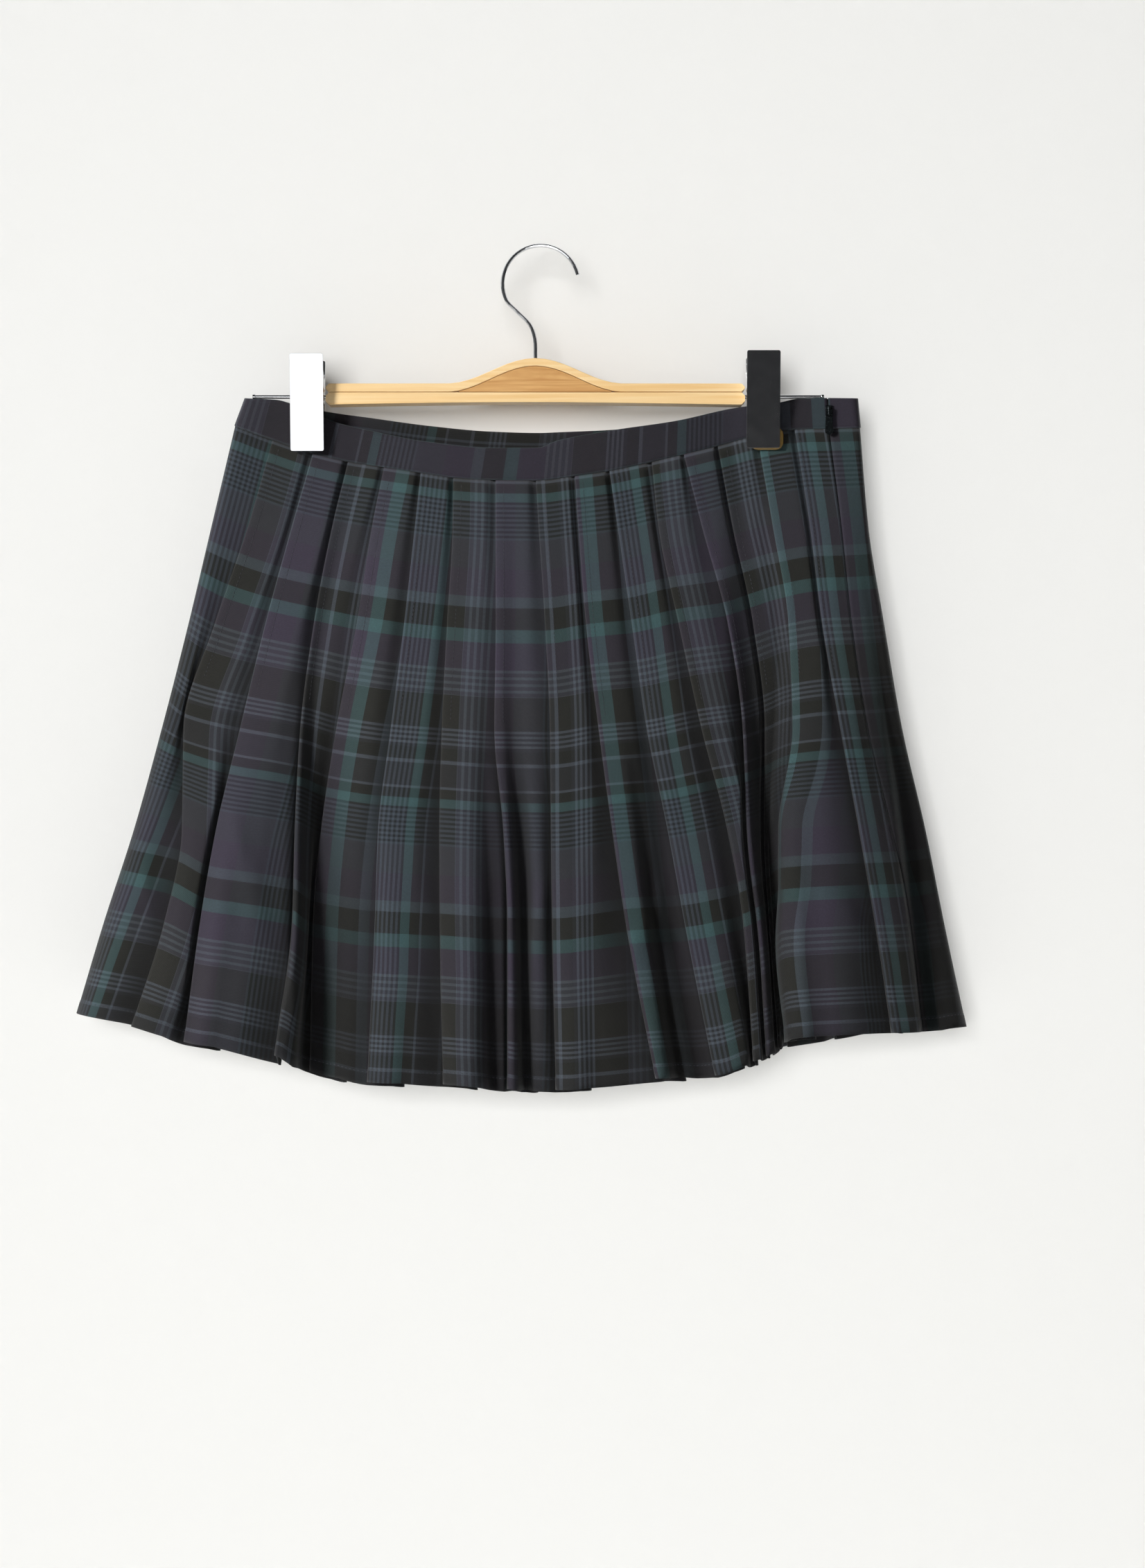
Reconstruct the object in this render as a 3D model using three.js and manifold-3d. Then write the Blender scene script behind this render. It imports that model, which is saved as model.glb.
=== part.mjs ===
// A pleated mini skirt held by the waist on a wooden hanger with two pinch clips.
// Millimetres. +Z is up, the skirt's front faces -Y, the origin is the top inside of the hook.
// The cloth is one thin wall that runs along a folded centre line, ring by ring, from waist seam to hem.
import * as THREE from 'three';
import { mergeVertices } from 'three/addons/utils/BufferGeometryUtils.js';
import Module from 'manifold-3d';

const wasm = await Module();
wasm.setup();

// Driving sizes.
const clothWall = 1.0;
const bandWall = 1.8;
const seamGap = 0.3;
const clothLength = 400;
const stitchedLength = 160;
const layerAtWaist = 1.35;
const layerAtHem = 2.5;
const underAtWaist = 19;
const underAtHem = 22;
const bandSeamLift = 0.5;
const crowdFrom = 5.4;
const crowdFull = 3.4;
const leastUnder = 3;
const slopeRoom = 5.6;
const firstShort = 1.6;
const slopeClear = 0.8;
const slopeShort = 1.0;
const slopeStart = 0.03;
const backFolds = 16;
const backFirstAtWaist = 12;
const backFirstAtHem = 24;
const backLastAtWaist = 27;
const backLastAtHem = 34;
const zipSlit = 1.8;
const tapeWall = 0.7;
const tapeWide = 6;

// Sights taken of the garment are kept as picture points, and turned to millimetres here.
const sight = { scale: 0.455, eyeX: 826, eyeY: 1131.5, hookX: 780, hookY: 357, away: 1500 };
const eyeXmm = (sight.eyeX - sight.hookX) * sight.scale;
const eyeZmm = (sight.hookY - sight.eyeY) * sight.scale;
const flatX = (px) => (px - sight.hookX) * sight.scale;
const deeper = (y) => 1 + y / sight.away;
const xOf = (px, y) => eyeXmm + (px - sight.eyeX) * sight.scale * deeper(y);
const zOf = (py, y) => eyeZmm + (sight.eyeY - py) * sight.scale * deeper(y);

// Fold edges across the front, left to right: where each starts at the waist seam, its path, its hem.
// under is the hidden width in mm at the waist, where the stitching ends and at the hem; rise and deep
// open the fold at the hem, in mm.
const pathRows = [760, 900, 1050, 1200, 1330];
const folds = [
  { name: 'leftEdge', seamX: 340, seamY: 615.5, path: [306, 273, 235, 194, 152], hemX: 113, hemY: 1462 },
  { name: 'a', seamX: 394, seamY: 636, path: [358.6, 311, 266, 264, 239], hemX: 192, hemY: 1481,
    under: [19, 20, 22], rise: 2.5, deep: 1.5, bulge: 1.5 },
  { name: 'b', seamX: 452, seamY: 655, path: [422, 384, 348, 313, 291], hemX: 268, hemY: 1503,
    under: [19, 20, 22], rise: 2, deep: 1.5, bulge: 3 },
  { name: 'c', seamX: 503, seamY: 667, path: [480, 453, 433, 424, 420], hemX: 397, hemY: 1522,
    under: [19, 10, 3], rise: 4, deep: 1, bulge: 0 },
  { name: 'd', seamX: 555, seamY: 675, path: [538, 516, 487, 464, 452], hemX: 447, hemY: 1546,
    under: [19, 20, 22], rise: 0.5, deep: 2, bulge: 1 },
  { name: 'd2', seamX: 608, seamY: 683, path: [599.5, 584, 565, 547, 543], hemX: 533, hemY: 1561,
    under: [17, 19, 22], rise: 2, deep: 1.5, bulge: 2.5 },
  { name: 'e', seamX: 655, seamY: 690, path: [654, 646, 638.5, 635, 635.5], hemX: 641, hemY: 1564,
    under: [19, 20, 22], rise: 3, deep: 2, bulge: 2 },
  { name: 'f', seamX: 716, seamY: 693.5, path: [716, 716, 714, 726, 731], hemX: 731, hemY: 1571,
    under: [19, 18.5, 18], rise: 3, deep: 1.5, bulge: -1 },
  { name: 'g', seamX: 774, seamY: 694, path: [778, 787, 794, 795.5, 797], hemX: 803, hemY: 1572,
    under: [19, 20, 22], rise: 2.5, deep: 1.5, bulge: 3 },
  { name: 'h', seamX: 830, seamY: 687.5, path: [835, 846, 864, 884, 903], hemX: 946, hemY: 1556,
    under: [18, 18.5, 20], rise: 2, deep: 1.5, bulge: -1 },
  { name: 'i', seamX: 880, seamY: 680, path: [891.5, 912, 933.5, 965.5, 989.5], hemX: 1034, hemY: 1551,
    under: [19, 19.5, 20], rise: 3, deep: 2, bulge: 1.5 },
  { name: 'j', seamX: 941, seamY: 667, path: [950.5, 979.5, 1012, 1050, 1072], hemX: 1087, hemY: 1531,
    under: [16, 13, 8], rise: 2, deep: 1, bulge: 0 },
  { name: 'k', seamX: 987, seamY: 656, path: [1013, 1050, 1071, 1077, 1090], hemX: 1105, hemY: 1524,
    under: [17, 16, 14], rise: 0.5, deep: 1, bulge: 0 },
  { name: 'k2', seamX: 1036, seamY: 644, path: [1057, 1087, 1104, 1102, 1109], hemX: 1122, hemY: 1514,
    under: [19, 8, 4], rise: 0.5, deep: 0.5, bulge: 0 },
  { name: 'k3', seamX: 1093, seamY: 629, path: [1116, 1139, 1145, 1127, 1128], hemX: 1140, hemY: 1496,
    under: [18, 17.5, 16], rise: 1, deep: 0, bulge: 4 },
  { name: 'l', seamX: 1147, seamY: 620.5, path: [1169, 1186.5, 1212, 1239, 1261], hemX: 1285, hemY: 1490,
    under: [7, 7.5, 9], rise: 3, deep: 2, bulge: 0 },
  { name: 'zipSeam', seamX: 1196, seamY: 619, path: [1214, 1229, 1252, 1287, 1311], hemX: 1329, hemY: 1489 },
  { name: 'rightEdge', seamX: 1240, seamY: 618, path: [1252, 1274.7, 1300.6, 1335, 1361],
    hemX: 1393, hemY: 1482 },
];
const leftEdge = folds[0];
const zipSeam = folds[folds.length - 2];
const rightEdge = folds[folds.length - 1];

// Waist: picture height of the band's top and of the back's seam, across the width from 0 to 1.
const waistLine = [
  { across: 0, frontTop: 575, backTop: 575 },
  { across: 0.05, frontTop: 577, backTop: 578 },
  { across: 0.1, frontTop: 593, backTop: 589 },
  { across: 0.15, frontTop: 610, backTop: 597 },
  { across: 0.2, frontTop: 621, backTop: 603 },
  { across: 0.3, frontTop: 638, backTop: 615 },
  { across: 0.4, frontTop: 646.5, backTop: 623 },
  { across: 0.48, frontTop: 646, backTop: 625 },
  { across: 0.51, frontTop: 636, backTop: 624 },
  { across: 0.6, frontTop: 621, backTop: 620.5 },
  { across: 0.7, frontTop: 608, backTop: 610 },
  { across: 0.8, frontTop: 589, backTop: 594 },
  { across: 0.845, frontTop: 584, backTop: 588 },
  { across: 0.873, frontTop: 581, backTop: 584 },
  { across: 0.9, frontTop: 576, backTop: 579 },
  { across: 0.95, frontTop: 574.5, backTop: 576 },
  { across: 1, frontTop: 575, backTop: 575 },
];
const bandTall = 45;
const bandTopInset = { left: 15, right: -4 };

// How far the front and back stand from the middle plane: flat in the clips, open between them.
const openness = [
  { across: 0, waist: 4.6, stitched: 10, hem: 21 },
  { across: 0.085, waist: 2.5, stitched: 10, hem: 28 },
  { across: 0.145, waist: 2.5, stitched: 12, hem: 31 },
  { across: 0.3, waist: 8, stitched: 20, hem: 37 },
  { across: 0.5, waist: 11, stitched: 24, hem: 40 },
  { across: 0.7, waist: 8, stitched: 20, hem: 37 },
  { across: 0.815, waist: 2.5, stitched: 13, hem: 32 },
  { across: 0.885, waist: 2.5, stitched: 12, hem: 29 },
  { across: 1, waist: 6, stitched: 12, hem: 22 },
];
const sideRound = { waist: 3.5, stitched: 8, hem: 18 };

// Valleys between groups of pleats: picture x of each side at four picture heights, how many mm each
// side takes to fall, and the depth in mm at those heights.
const reliefRows = [700, 1000, 1250, 1500];
const valleys = [
  { name: 'c', left: [500, 446, 438, 440], leftFall: 13, right: [560, 515, 520, 512], rightFall: 44,
    by: [1.2, 6, 14, 18] },
  { name: 'e', left: [690, 690, 696, 698], leftFall: 16, right: [706, 702, 716, 720], rightFall: 7,
    by: [0, 1, 5, 7] },
  { name: 'f', left: [735, 732, 743, 745], leftFall: 8, right: [755, 765, 772, 780], rightFall: 15,
    by: [0, 2.5, 9, 12] },
  { name: 'h', left: [878, 898, 926, 962], leftFall: 11, right: [905, 934, 968, 1016], rightFall: 10,
    by: [0, 1.5, 8, 11] },
  { name: 'k', left: [1040, 1068, 1092, 1115], leftFall: 18, right: [1085, 1130, 1120, 1134], rightFall: 10,
    by: [0.3, 9, 14, 11] },
  { name: 'zip', left: [1215, 1260, 1295, 1321], leftFall: 9, right: [1235, 1285, 1322, 1352], rightFall: 14,
    by: [0, 4, 11, 13] },
];

// Broad swells down the front: picture x of the crest, its half width and height in mm.
const swells = [
  { name: 'k', x: [1125, 1178, 1192, 1215], wide: 22, by: [0, 4, 9, 11] },
  { name: 'b', x: [430, 388, 352, 345], wide: 20, by: [0, 1.5, 4, 6] },
  { name: 'e', x: [690, 680, 686, 690], wide: 18, by: [0, 1, 3, 4] },
];
const normalReach = 6;

const clamp01 = (v) => Math.min(1, Math.max(0, v));
const mix = (a, b, f) => a + (b - a) * f;
const ease = (v) => clamp01(v) * clamp01(v) * (3 - 2 * clamp01(v));

// Smooth curve through points whose first column rises.
function curveAt(xs, ys, x) {
  const n = xs.length;
  if (x <= xs[0]) return ys[0];
  if (x >= xs[n - 1]) return ys[n - 1];
  let i = 0;
  while (x > xs[i + 1]) i++;
  const slope = (j) => (ys[j + 1] - ys[j]) / (xs[j + 1] - xs[j]);
  const tangent = (j) => {
    if (j === 0) return slope(0);
    if (j === n - 1) return slope(n - 2);
    const before = slope(j - 1);
    const after = slope(j);
    return before * after <= 0 ? 0 : (2 * before * after) / (before + after);
  };
  const h = xs[i + 1] - xs[i];
  const s = (x - xs[i]) / h;
  const s2 = s * s;
  const s3 = s2 * s;
  return (2 * s3 - 3 * s2 + 1) * ys[i] + (s3 - 2 * s2 + s) * h * tangent(i)
    + (3 * s2 - 2 * s3) * ys[i + 1] + (s3 - s2) * h * tangent(i + 1);
}
const column = (table, key) => table.map((row) => row[key]);
const threeRows = (o, t) => curveAt([0, stitchedLength, clothLength], [o.waist, o.stitched, o.hem], t);

// Picture point of a fold at a distance t down the cloth; above the seam t is negative.
function foldPx(fold, t) {
  const py = fold.seamY + (t / clothLength) * (fold.hemY - fold.seamY);
  const rows = [fold.seamY, ...pathRows, fold.hemY];
  const xs = [fold.seamX, ...fold.path, fold.hemX];
  return { px: curveAt(rows, xs, py), py };
}
const openFrom = stitchedLength * 0.9;
const opened = (t) => Math.pow(clamp01((t - openFrom) / (clothLength - openFrom)), 1.2);
const layerAt = (t) => mix(layerAtWaist, layerAtHem, ease(t / clothLength));

// The outline of one ring, seen from above: an oval with soft ends, before it is folded into pleats.
function ringOutline(t, side, bandRise = 0) {
  const left = flatX(foldPx(leftEdge, Math.max(t, 0)).px + bandTopInset.left * bandRise);
  const right = flatX(foldPx(rightEdge, Math.max(t, 0)).px + bandTopInset.right * bandRise);
  const down = Math.max(t, 0);
  const roundX = threeRows(sideRound, down);
  const least = layerAt(down) + clothWall / 2 + 0.35;
  const across = column(openness, 'across');
  const stand = openness.map((row) => threeRows(row, down));
  const rowPy = 690 + (t / clothLength) * 820;
  function depthAt(x) {
    let d = curveAt(across, stand, (x - left) / (right - left));
    if (side === 'front') {
      for (const valley of valleys) {
        const from = flatX(curveAt(reliefRows, valley.left, rowPy)) - valley.leftFall / 2;
        const to = flatX(curveAt(reliefRows, valley.right, rowPy)) + valley.rightFall / 2;
        const fall = ease((x - from) / valley.leftFall) * ease((to - x) / valley.rightFall);
        d -= curveAt(reliefRows, valley.by, rowPy) * fall;
      }
      for (const swell of swells) {
        const off = (x - flatX(curveAt(reliefRows, swell.x, rowPy))) / swell.wide;
        d += curveAt(reliefRows, swell.by, rowPy) * Math.exp(-off * off / 2);
      }
    }
    d = (d + least + Math.sqrt((d - least) * (d - least) + 0.6)) / 2;
    const fromEnd = Math.min(x - left, right - x);
    const cap = fromEnd >= roundX ? 1 : Math.sqrt(Math.max(0, 1 - Math.pow(1 - fromEnd / roundX, 2)));
    return d * cap;
  }
  const sign = side === 'front' ? -1 : 1;
  function at(x, level) {
    const step = Math.min(normalReach, Math.max(0.02, Math.min(x - left, right - x) * 0.5));
    const slope = (depthAt(x + step) - depthAt(x - step)) / (2 * step);
    const len = Math.hypot(1, slope);
    return { x: x - (slope / len) * level, y: sign * (depthAt(x) + level / len) };
  }
  function corner(end, angle, level) {
    const nearX = end === 'left' ? left + roundX : right - roundX;
    const out = end === 'left' ? -1 : 1;
    const d = depthAt(nearX);
    const nx = Math.cos(angle) * d;
    const ny = Math.sin(angle) * roundX;
    const len = Math.hypot(nx, ny);
    return {
      x: nearX + out * (roundX * Math.cos(angle) + (nx / len) * level),
      y: sign * (d * Math.sin(angle) + (ny / len) * level),
    };
  }
  return { left, right, roundX, depthAt, at, corner, sign };
}

// Where a fold sits in x at a distance t, with the picture's foreshortening taken out.
function foldX(fold, t, ring) {
  const { px } = foldPx(fold, t);
  const near = flatX(px);
  if (near <= ring.left + 1 || near >= ring.right - 1) return near;
  return xOf(px, -ring.depthAt(near));
}

// The height of the cloth at x on one side, at a distance t down from the waist seam.
function heightAt(side, x, t, ring) {
  const f = clamp01((x - ring.left) / (ring.right - ring.left));
  const y = ring.sign * ring.depthAt(Math.min(ring.right, Math.max(ring.left, x)));
  if (side === 'back') {
    const top = curveAt(column(waistLine, 'across'), column(waistLine, 'backTop'), f);
    const seam = top + mix(mix(leftEdge.seamY, rightEdge.seamY, f) - 575, bandTall, ease(4 * f * (1 - f)));
    const endDrop = mix(leftEdge.hemY - leftEdge.seamY, rightEdge.hemY - rightEdge.seamY, f);
    const drop = mix(endDrop, 878, ease(4 * f * (1 - f)));
    return zOf(seam + drop * (t / clothLength), y);
  }
  const xs = folds.map((fold) => foldX(fold, t, ring));
  const ys = folds.map((fold) => foldPx(fold, t).py);
  for (let i = 1; i < xs.length; i++) {
    xs[i] = Math.max(xs[i], xs[i - 1] + 0.5);
  }
  return zOf(curveAt(xs, ys, x), y);
}

// One pleat's points as x and level, from its inner turn to where it reaches the next one.
// A pleat that lies on a valley's side has a middle point in its hidden layers too.
function pleatPoints(edge, under, levels, nextEdge, nextLow, bulge, bends = false) {
  const { low, mid, top } = levels;
  const innerR = Math.min((mid - low) / 2, under * 0.3);
  const outerR = Math.min((top - mid) / 2, under * 0.3);
  const pitch = nextEdge - edge;
  const loose = pitch - under > crowdFull;
  const slopeFrom = loose ? edge + under + slopeClear : edge + pitch * 0.45;
  const slopeTo = loose ? Math.max(nextEdge - slopeShort, slopeFrom + 0.6) : edge + pitch * 0.75;
  const halfway = edge + mix(outerR, under - innerR, 0.5);
  return [
    ...(bends ? [[halfway, low]] : []),
    [edge + under - innerR, low],
    [edge + under, (low + mid) / 2],
    [edge + under - innerR, mid],
    ...(bends ? [[halfway, mid]] : []),
    [edge + outerR, mid],
    [edge, (mid + top) / 2],
    [edge + outerR, top],
    [halfway, top + bulge],
    [slopeFrom, loose ? mix(top, nextLow, slopeStart) : top],
    [slopeTo, nextLow],
  ];
}

// Levels of every fold of a side. A fold that crowds the one before it is lifted on to it.
function stackLevels(edges, unders, t, opens) {
  const layer = layerAt(t);
  const levels = [];
  for (let k = 0; k < edges.length; k++) {
    const { rise, deep } = opens[k];
    let low = -layer - deep * opened(t);
    if (k > 0) {
      const room = edges[k] - edges[k - 1] - unders[k - 1];
      const crowd = ease((crowdFrom - room) / (crowdFrom - crowdFull));
      low = mix(low, levels[k - 1].top, crowd);
    }
    const mid = low + layer + deep * opened(t) * 0.5;
    levels.push({ low, mid, top: mid + layer + rise * opened(t) });
  }
  return levels;
}

// Centre line of the front at a distance t: from the left side seam to the zip seam.
function frontLine(t) {
  const ring = ringOutline(t, 'front');
  const inner = folds.slice(1, -2);
  const edges = inner.map((fold) => foldX(fold, t, ring));
  for (let k = 1; k < edges.length; k++) {
    edges[k] = Math.max(edges[k], edges[k - 1] + 2.6);
  }
  const unders = inner.map((fold, k) => {
    const pitch = (k + 1 < edges.length ? edges[k + 1] : 1e6) - edges[k];
    const wanted = curveAt([0, stitchedLength, clothLength], fold.under, t);
    return Math.min(wanted, Math.max(leastUnder, pitch - slopeRoom));
  });
  const levels = stackLevels(edges, unders, t, inner);
  const end = foldX(zipSeam, t, ring) - seamGap / 2;
  const points = [];
  for (const angle of [0, Math.PI / 6, Math.PI / 3]) {
    points.push(ring.corner('left', angle, 0));
  }
  points[0].y = -seamGap / 2;
  const firstFlat = ring.left + ring.roundX + 0.5;
  points.push(ring.at(firstFlat, 0));
  points.push(ring.at(mix(firstFlat, edges[0], 0.45), 0.25 * levels[0].low));
  points.push(ring.at(edges[0] - firstShort, levels[0].low));
  inner.forEach((fold, k) => {
    const last = k === inner.length - 1;
    const nextEdge = last ? end + slopeShort : edges[k + 1];
    const nextLow = last ? 0 : levels[k + 1].low;
    const bulge = fold.bulge * opened(t);
    const list = pleatPoints(edges[k], unders[k], levels[k], nextEdge, nextLow, bulge, true);
    for (const [x, level] of list) points.push(ring.at(x, level));
  });
  return points.map((p) => ({ ...p, z: heightAt('front', p.x, t, ring) }));
}

// Centre line of the back: from the zip seam, round the right side, and across to the left side seam.
function backLine(t) {
  const front = ringOutline(t, 'front');
  const back = ringOutline(t, 'back');
  const points = [];
  const start = foldX(zipSeam, t, front) + seamGap / 2;
  const turn = front.right - front.roundX;
  points.push({ ...front.at(start, 0), side: 'front' });
  points.push({ ...front.at(mix(start, turn, 0.5), 0), side: 'front' });
  points.push({ ...front.at(turn - 0.4, 0), side: 'front' });
  for (const angle of [Math.PI / 3, Math.PI / 6, 0]) {
    points.push({ ...front.corner('right', angle, 0), side: 'front' });
  }
  for (const angle of [Math.PI / 6, Math.PI / 3]) {
    points.push({ ...back.corner('right', angle, 0), side: 'back' });
  }
  const s = ease(t / clothLength);
  const first = mix(backFirstAtWaist, backFirstAtHem, s);
  const last = mix(backLastAtWaist, backLastAtHem, s);
  const width = back.right - back.left;
  const pitch = (width - first - last) / (backFolds - 1);
  const under = mix(underAtWaist - 1.5, underAtHem, s);
  const edges = [];
  const opens = [];
  for (let k = 0; k < backFolds; k++) {
    const sway = 2.5 * opened(t) * Math.sin(k * 2.1 + 0.6);
    edges.push(first + pitch * k + sway);
    opens.push({ rise: 2.5 + Math.sin(k * 1.7), deep: 1.5 + 0.6 * Math.cos(k * 2.3) });
  }
  const unders = edges.map((edge, k) => {
    const nextEdge = k + 1 < edges.length ? edges[k + 1] : width - back.roundX;
    return Math.min(under, nextEdge - edge - slopeRoom);
  });
  const levels = stackLevels(edges, unders, t, opens);
  points.push({ ...back.at(back.right - edges[0] + firstShort, levels[0].low), side: 'back' });
  for (let k = 0; k < backFolds; k++) {
    const ended = k === backFolds - 1;
    const nextEdge = ended ? width - back.roundX : edges[k + 1];
    const nextLow = ended ? 0 : levels[k + 1].low;
    const bulge = (1.5 + Math.sin(k * 1.3)) * opened(t);
    const list = pleatPoints(edges[k], unders[k], levels[k], nextEdge, nextLow, bulge);
    for (const [w, level] of list) points.push({ ...back.at(back.right - w, level), side: 'back' });
  }
  for (const angle of [Math.PI / 3, Math.PI / 6, 0]) {
    points.push({ ...back.corner('left', angle, 0), side: 'back' });
  }
  points[points.length - 1].y = seamGap / 2;
  const rings = { front, back };
  return points.map((p) => ({ x: p.x, y: p.y, z: heightAt(p.side, p.x, t, rings[p.side]) }));
}

// A wall on both sides of a row of centre lines, closed at its ends, top and bottom. Every four-sided
// patch is halved from its upper left to its lower right, so that layers that lie together stay parallel.
function wallSolid(lines, wall) {
  const n = lines[0].length;
  const loops = lines.map((line) => {
    const outer = [];
    const inner = [];
    for (let i = 0; i < n; i++) {
      const a = line[Math.max(i - 1, 0)];
      const p = line[i];
      const b = line[Math.min(i + 1, n - 1)];
      const inLen = Math.hypot(p.x - a.x, p.y - a.y) || 1;
      const outLen = Math.hypot(b.x - p.x, b.y - p.y) || 1;
      let ax = i === 0 ? 0 : (p.x - a.x) / inLen;
      let ay = i === 0 ? 0 : (p.y - a.y) / inLen;
      let bx = i === n - 1 ? ax : (b.x - p.x) / outLen;
      let by = i === n - 1 ? ay : (b.y - p.y) / outLen;
      if (i === 0) {
        ax = bx;
        ay = by;
      }
      const sum = Math.hypot(ax + bx, ay + by) || 1;
      const tx = (ax + bx) / sum;
      const ty = (ay + by) / sum;
      const cosHalf = Math.max(0.62, ax * tx + ay * ty);
      const off = wall / 2 / cosHalf;
      outer.push([p.x + ty * off, p.y - tx * off, p.z]);
      inner.push([p.x - ty * off, p.y + tx * off, p.z]);
    }
    return [...outer, ...inner.reverse()];
  });
  const m = loops[0].length;
  const positions = loops.flat(2);
  const index = [];
  const id = (r, i) => r * m + ((i + m) % m);
  const patch = (r, i, falling) => {
    const [a, b, c, d] = [id(r, i), id(r, i + 1), id(r + 1, i + 1), id(r + 1, i)];
    if (falling) {
      index.push(a, d, c, a, c, b);
    } else {
      index.push(a, d, b, d, c, b);
    }
  };
  const rightward = (r, i) => {
    const runX = lines[r][i + 1].x - lines[r][i].x + lines[r + 1][i + 1].x - lines[r + 1][i].x;
    const runY = lines[r][i + 1].y - lines[r][i].y + lines[r + 1][i + 1].y - lines[r + 1][i].y;
    return runX + 0.3 * runY > 0;
  };
  for (let r = 0; r + 1 < loops.length; r++) {
    for (let i = 0; i + 1 < n; i++) {
      patch(r, i, rightward(r, i));
      patch(r, m - 2 - i, !rightward(r, i));
    }
    patch(r, n - 1, true);
    patch(r, m - 1, false);
  }
  for (let i = 0; i + 1 < n; i++) {
    const j = m - 1 - i;
    index.push(id(0, i), id(0, i + 1), id(0, j - 1), id(0, i), id(0, j - 1), id(0, j));
    const r = loops.length - 1;
    index.push(id(r, i + 1), id(r, i), id(r, j), id(r, i + 1), id(r, j), id(r, j - 1));
  }
  return meshFrom(positions, index);
}

function meshFrom(positions, index) {
  const geometry = new THREE.BufferGeometry();
  geometry.setAttribute('position', new THREE.Float32BufferAttribute(positions, 3));
  geometry.setIndex(index);
  return geometry;
}

// Finishes, as the picture shows them.
const finish = (color, roughness, metalness = 0) =>
  new THREE.MeshStandardMaterial({ color, roughness, metalness });
const plaidCloth = finish(0x2e2e35, 0.88);
const zipTape = finish(0x1c1c20, 0.85);
const zipMetal = finish(0x2f3b3d, 0.3, 0.9);
const beech = finish(0xe9be78, 0.45);
const fillerWood = finish(0xcd9b5a, 0.55);
const plated = finish(0xd9dbdd, 0.12, 1);
const clearVinyl = finish(0xe0b868, 0.25);

const garment = new THREE.Group();
function add(parent, name, geometry, material) {
  geometry.computeVertexNormals();
  const mesh = new THREE.Mesh(geometry, material);
  mesh.name = name;
  parent.add(mesh);
  return mesh;
}

// Joining and cutting: a closed geometry becomes a solid, and a solid becomes a geometry again.
function solidOf(geometry) {
  const plain = new THREE.BufferGeometry();
  const source = geometry.index ? geometry.toNonIndexed() : geometry;
  plain.setAttribute('position', source.getAttribute('position'));
  const merged = mergeVertices(plain, 1e-4);
  return new wasm.Manifold(new wasm.Mesh({
    numProp: 3,
    vertProperties: merged.getAttribute('position').array,
    triVerts: new Uint32Array(merged.index.array),
  }));
}
function geometryOf(solid) {
  const mesh = solid.getMesh();
  const positions = [];
  for (let i = 0; i < mesh.vertProperties.length; i += mesh.numProp) {
    positions.push(mesh.vertProperties[i], mesh.vertProperties[i + 1], mesh.vertProperties[i + 2]);
  }
  return meshFrom(positions, Array.from(mesh.triVerts));
}
const joined = (...geometries) => geometries.map(solidOf).reduce((all, one) => all.add(one));
const cut = (solid, ...geometries) =>
  geometries.map(solidOf).reduce((left, one) => left.subtract(one), solid);

// An outline in x and z, given thickness in y about its middle plane.
function slab(points, thick) {
  const shape = new THREE.Shape(points.map(([x, z]) => new THREE.Vector2(x, z)));
  return new THREE.ExtrudeGeometry(shape, { depth: thick, bevelEnabled: false })
    .rotateX(Math.PI / 2)
    .translate(0, thick / 2, 0);
}
function rodX(radius, from, to, sides = 20) {
  return new THREE.CylinderGeometry(radius, radius, to - from, sides)
    .rotateZ(Math.PI / 2)
    .translate((from + to) / 2, 0, 0);
}
function roundedRect(wide, tall, radius, steps = 4) {
  const points = [];
  const corners = [
    [wide / 2 - radius, tall / 2 - radius],
    [-wide / 2 + radius, tall / 2 - radius],
    [-wide / 2 + radius, -tall / 2 + radius],
    [wide / 2 - radius, -tall / 2 + radius],
  ];
  corners.forEach(([cx, cy], quarter) => {
    for (let i = 0; i <= steps; i++) {
      const angle = (quarter + i / steps) * Math.PI / 2;
      points.push([cx + radius * Math.cos(angle), cy + radius * Math.sin(angle)]);
    }
  });
  return points;
}

// A round wire along a curve, closed at both ends.
function wire(curve, radius, steps, sides) {
  const section = [];
  for (let i = 0; i < sides; i++) {
    const angle = (i / sides) * Math.PI * 2;
    section.push(new THREE.Vector2(radius * Math.cos(angle), radius * Math.sin(angle)));
  }
  const options = { steps, bevelEnabled: false, extrudePath: curve };
  return mergeVertices(positionsOnly(new THREE.ExtrudeGeometry(new THREE.Shape(section), options)), 1e-4);
}
function positionsOnly(geometry) {
  const plain = new THREE.BufferGeometry();
  plain.setAttribute('position', geometry.getAttribute('position'));
  return plain;
}

// Front and back of the skirt.
const skirt = new THREE.Group();
garment.add(skirt);
const ringShares = [0, 0.12, 0.26, 0.4, 0.54, 0.69, 0.85, 1];
const rings = ringShares.map((share) => share * clothLength);
add(skirt, 'front_panel', wallSolid(rings.map(frontLine), clothWall), plaidCloth);
add(skirt, 'back_panel', wallSolid(rings.map(backLine), clothWall), plaidCloth);

// Waistband: a firm strip above the seam, split at the left side and at the zip.
const bandRows = [1, 0.5, 0];
function bandPoint(side, rise, f, level) {
  const ring = ringOutline(0, side, rise);
  const x = mix(ring.left, ring.right, f);
  const p = ring.at(x, level);
  return { ...p, z: bandHeight(side, rise, f) };
}
function bandHeight(side, rise, f) {
  const ring = ringOutline(0, side, 0);
  const x = mix(ring.left, ring.right, f);
  const y = ring.sign * ring.depthAt(x);
  const low = heightAt(side, x, 0, ring) + bandSeamLift;
  const key = side === 'front' ? 'frontTop' : 'backTop';
  const high = zOf(curveAt(column(waistLine, 'across'), column(waistLine, key), f), y);
  return mix(low, high, rise);
}
const bandSteps = 56;
const bandEndGap = seamGap / 2 + 0.2;
const waistWide = flatX(rightEdge.seamX) - flatX(leftEdge.seamX);
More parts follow.
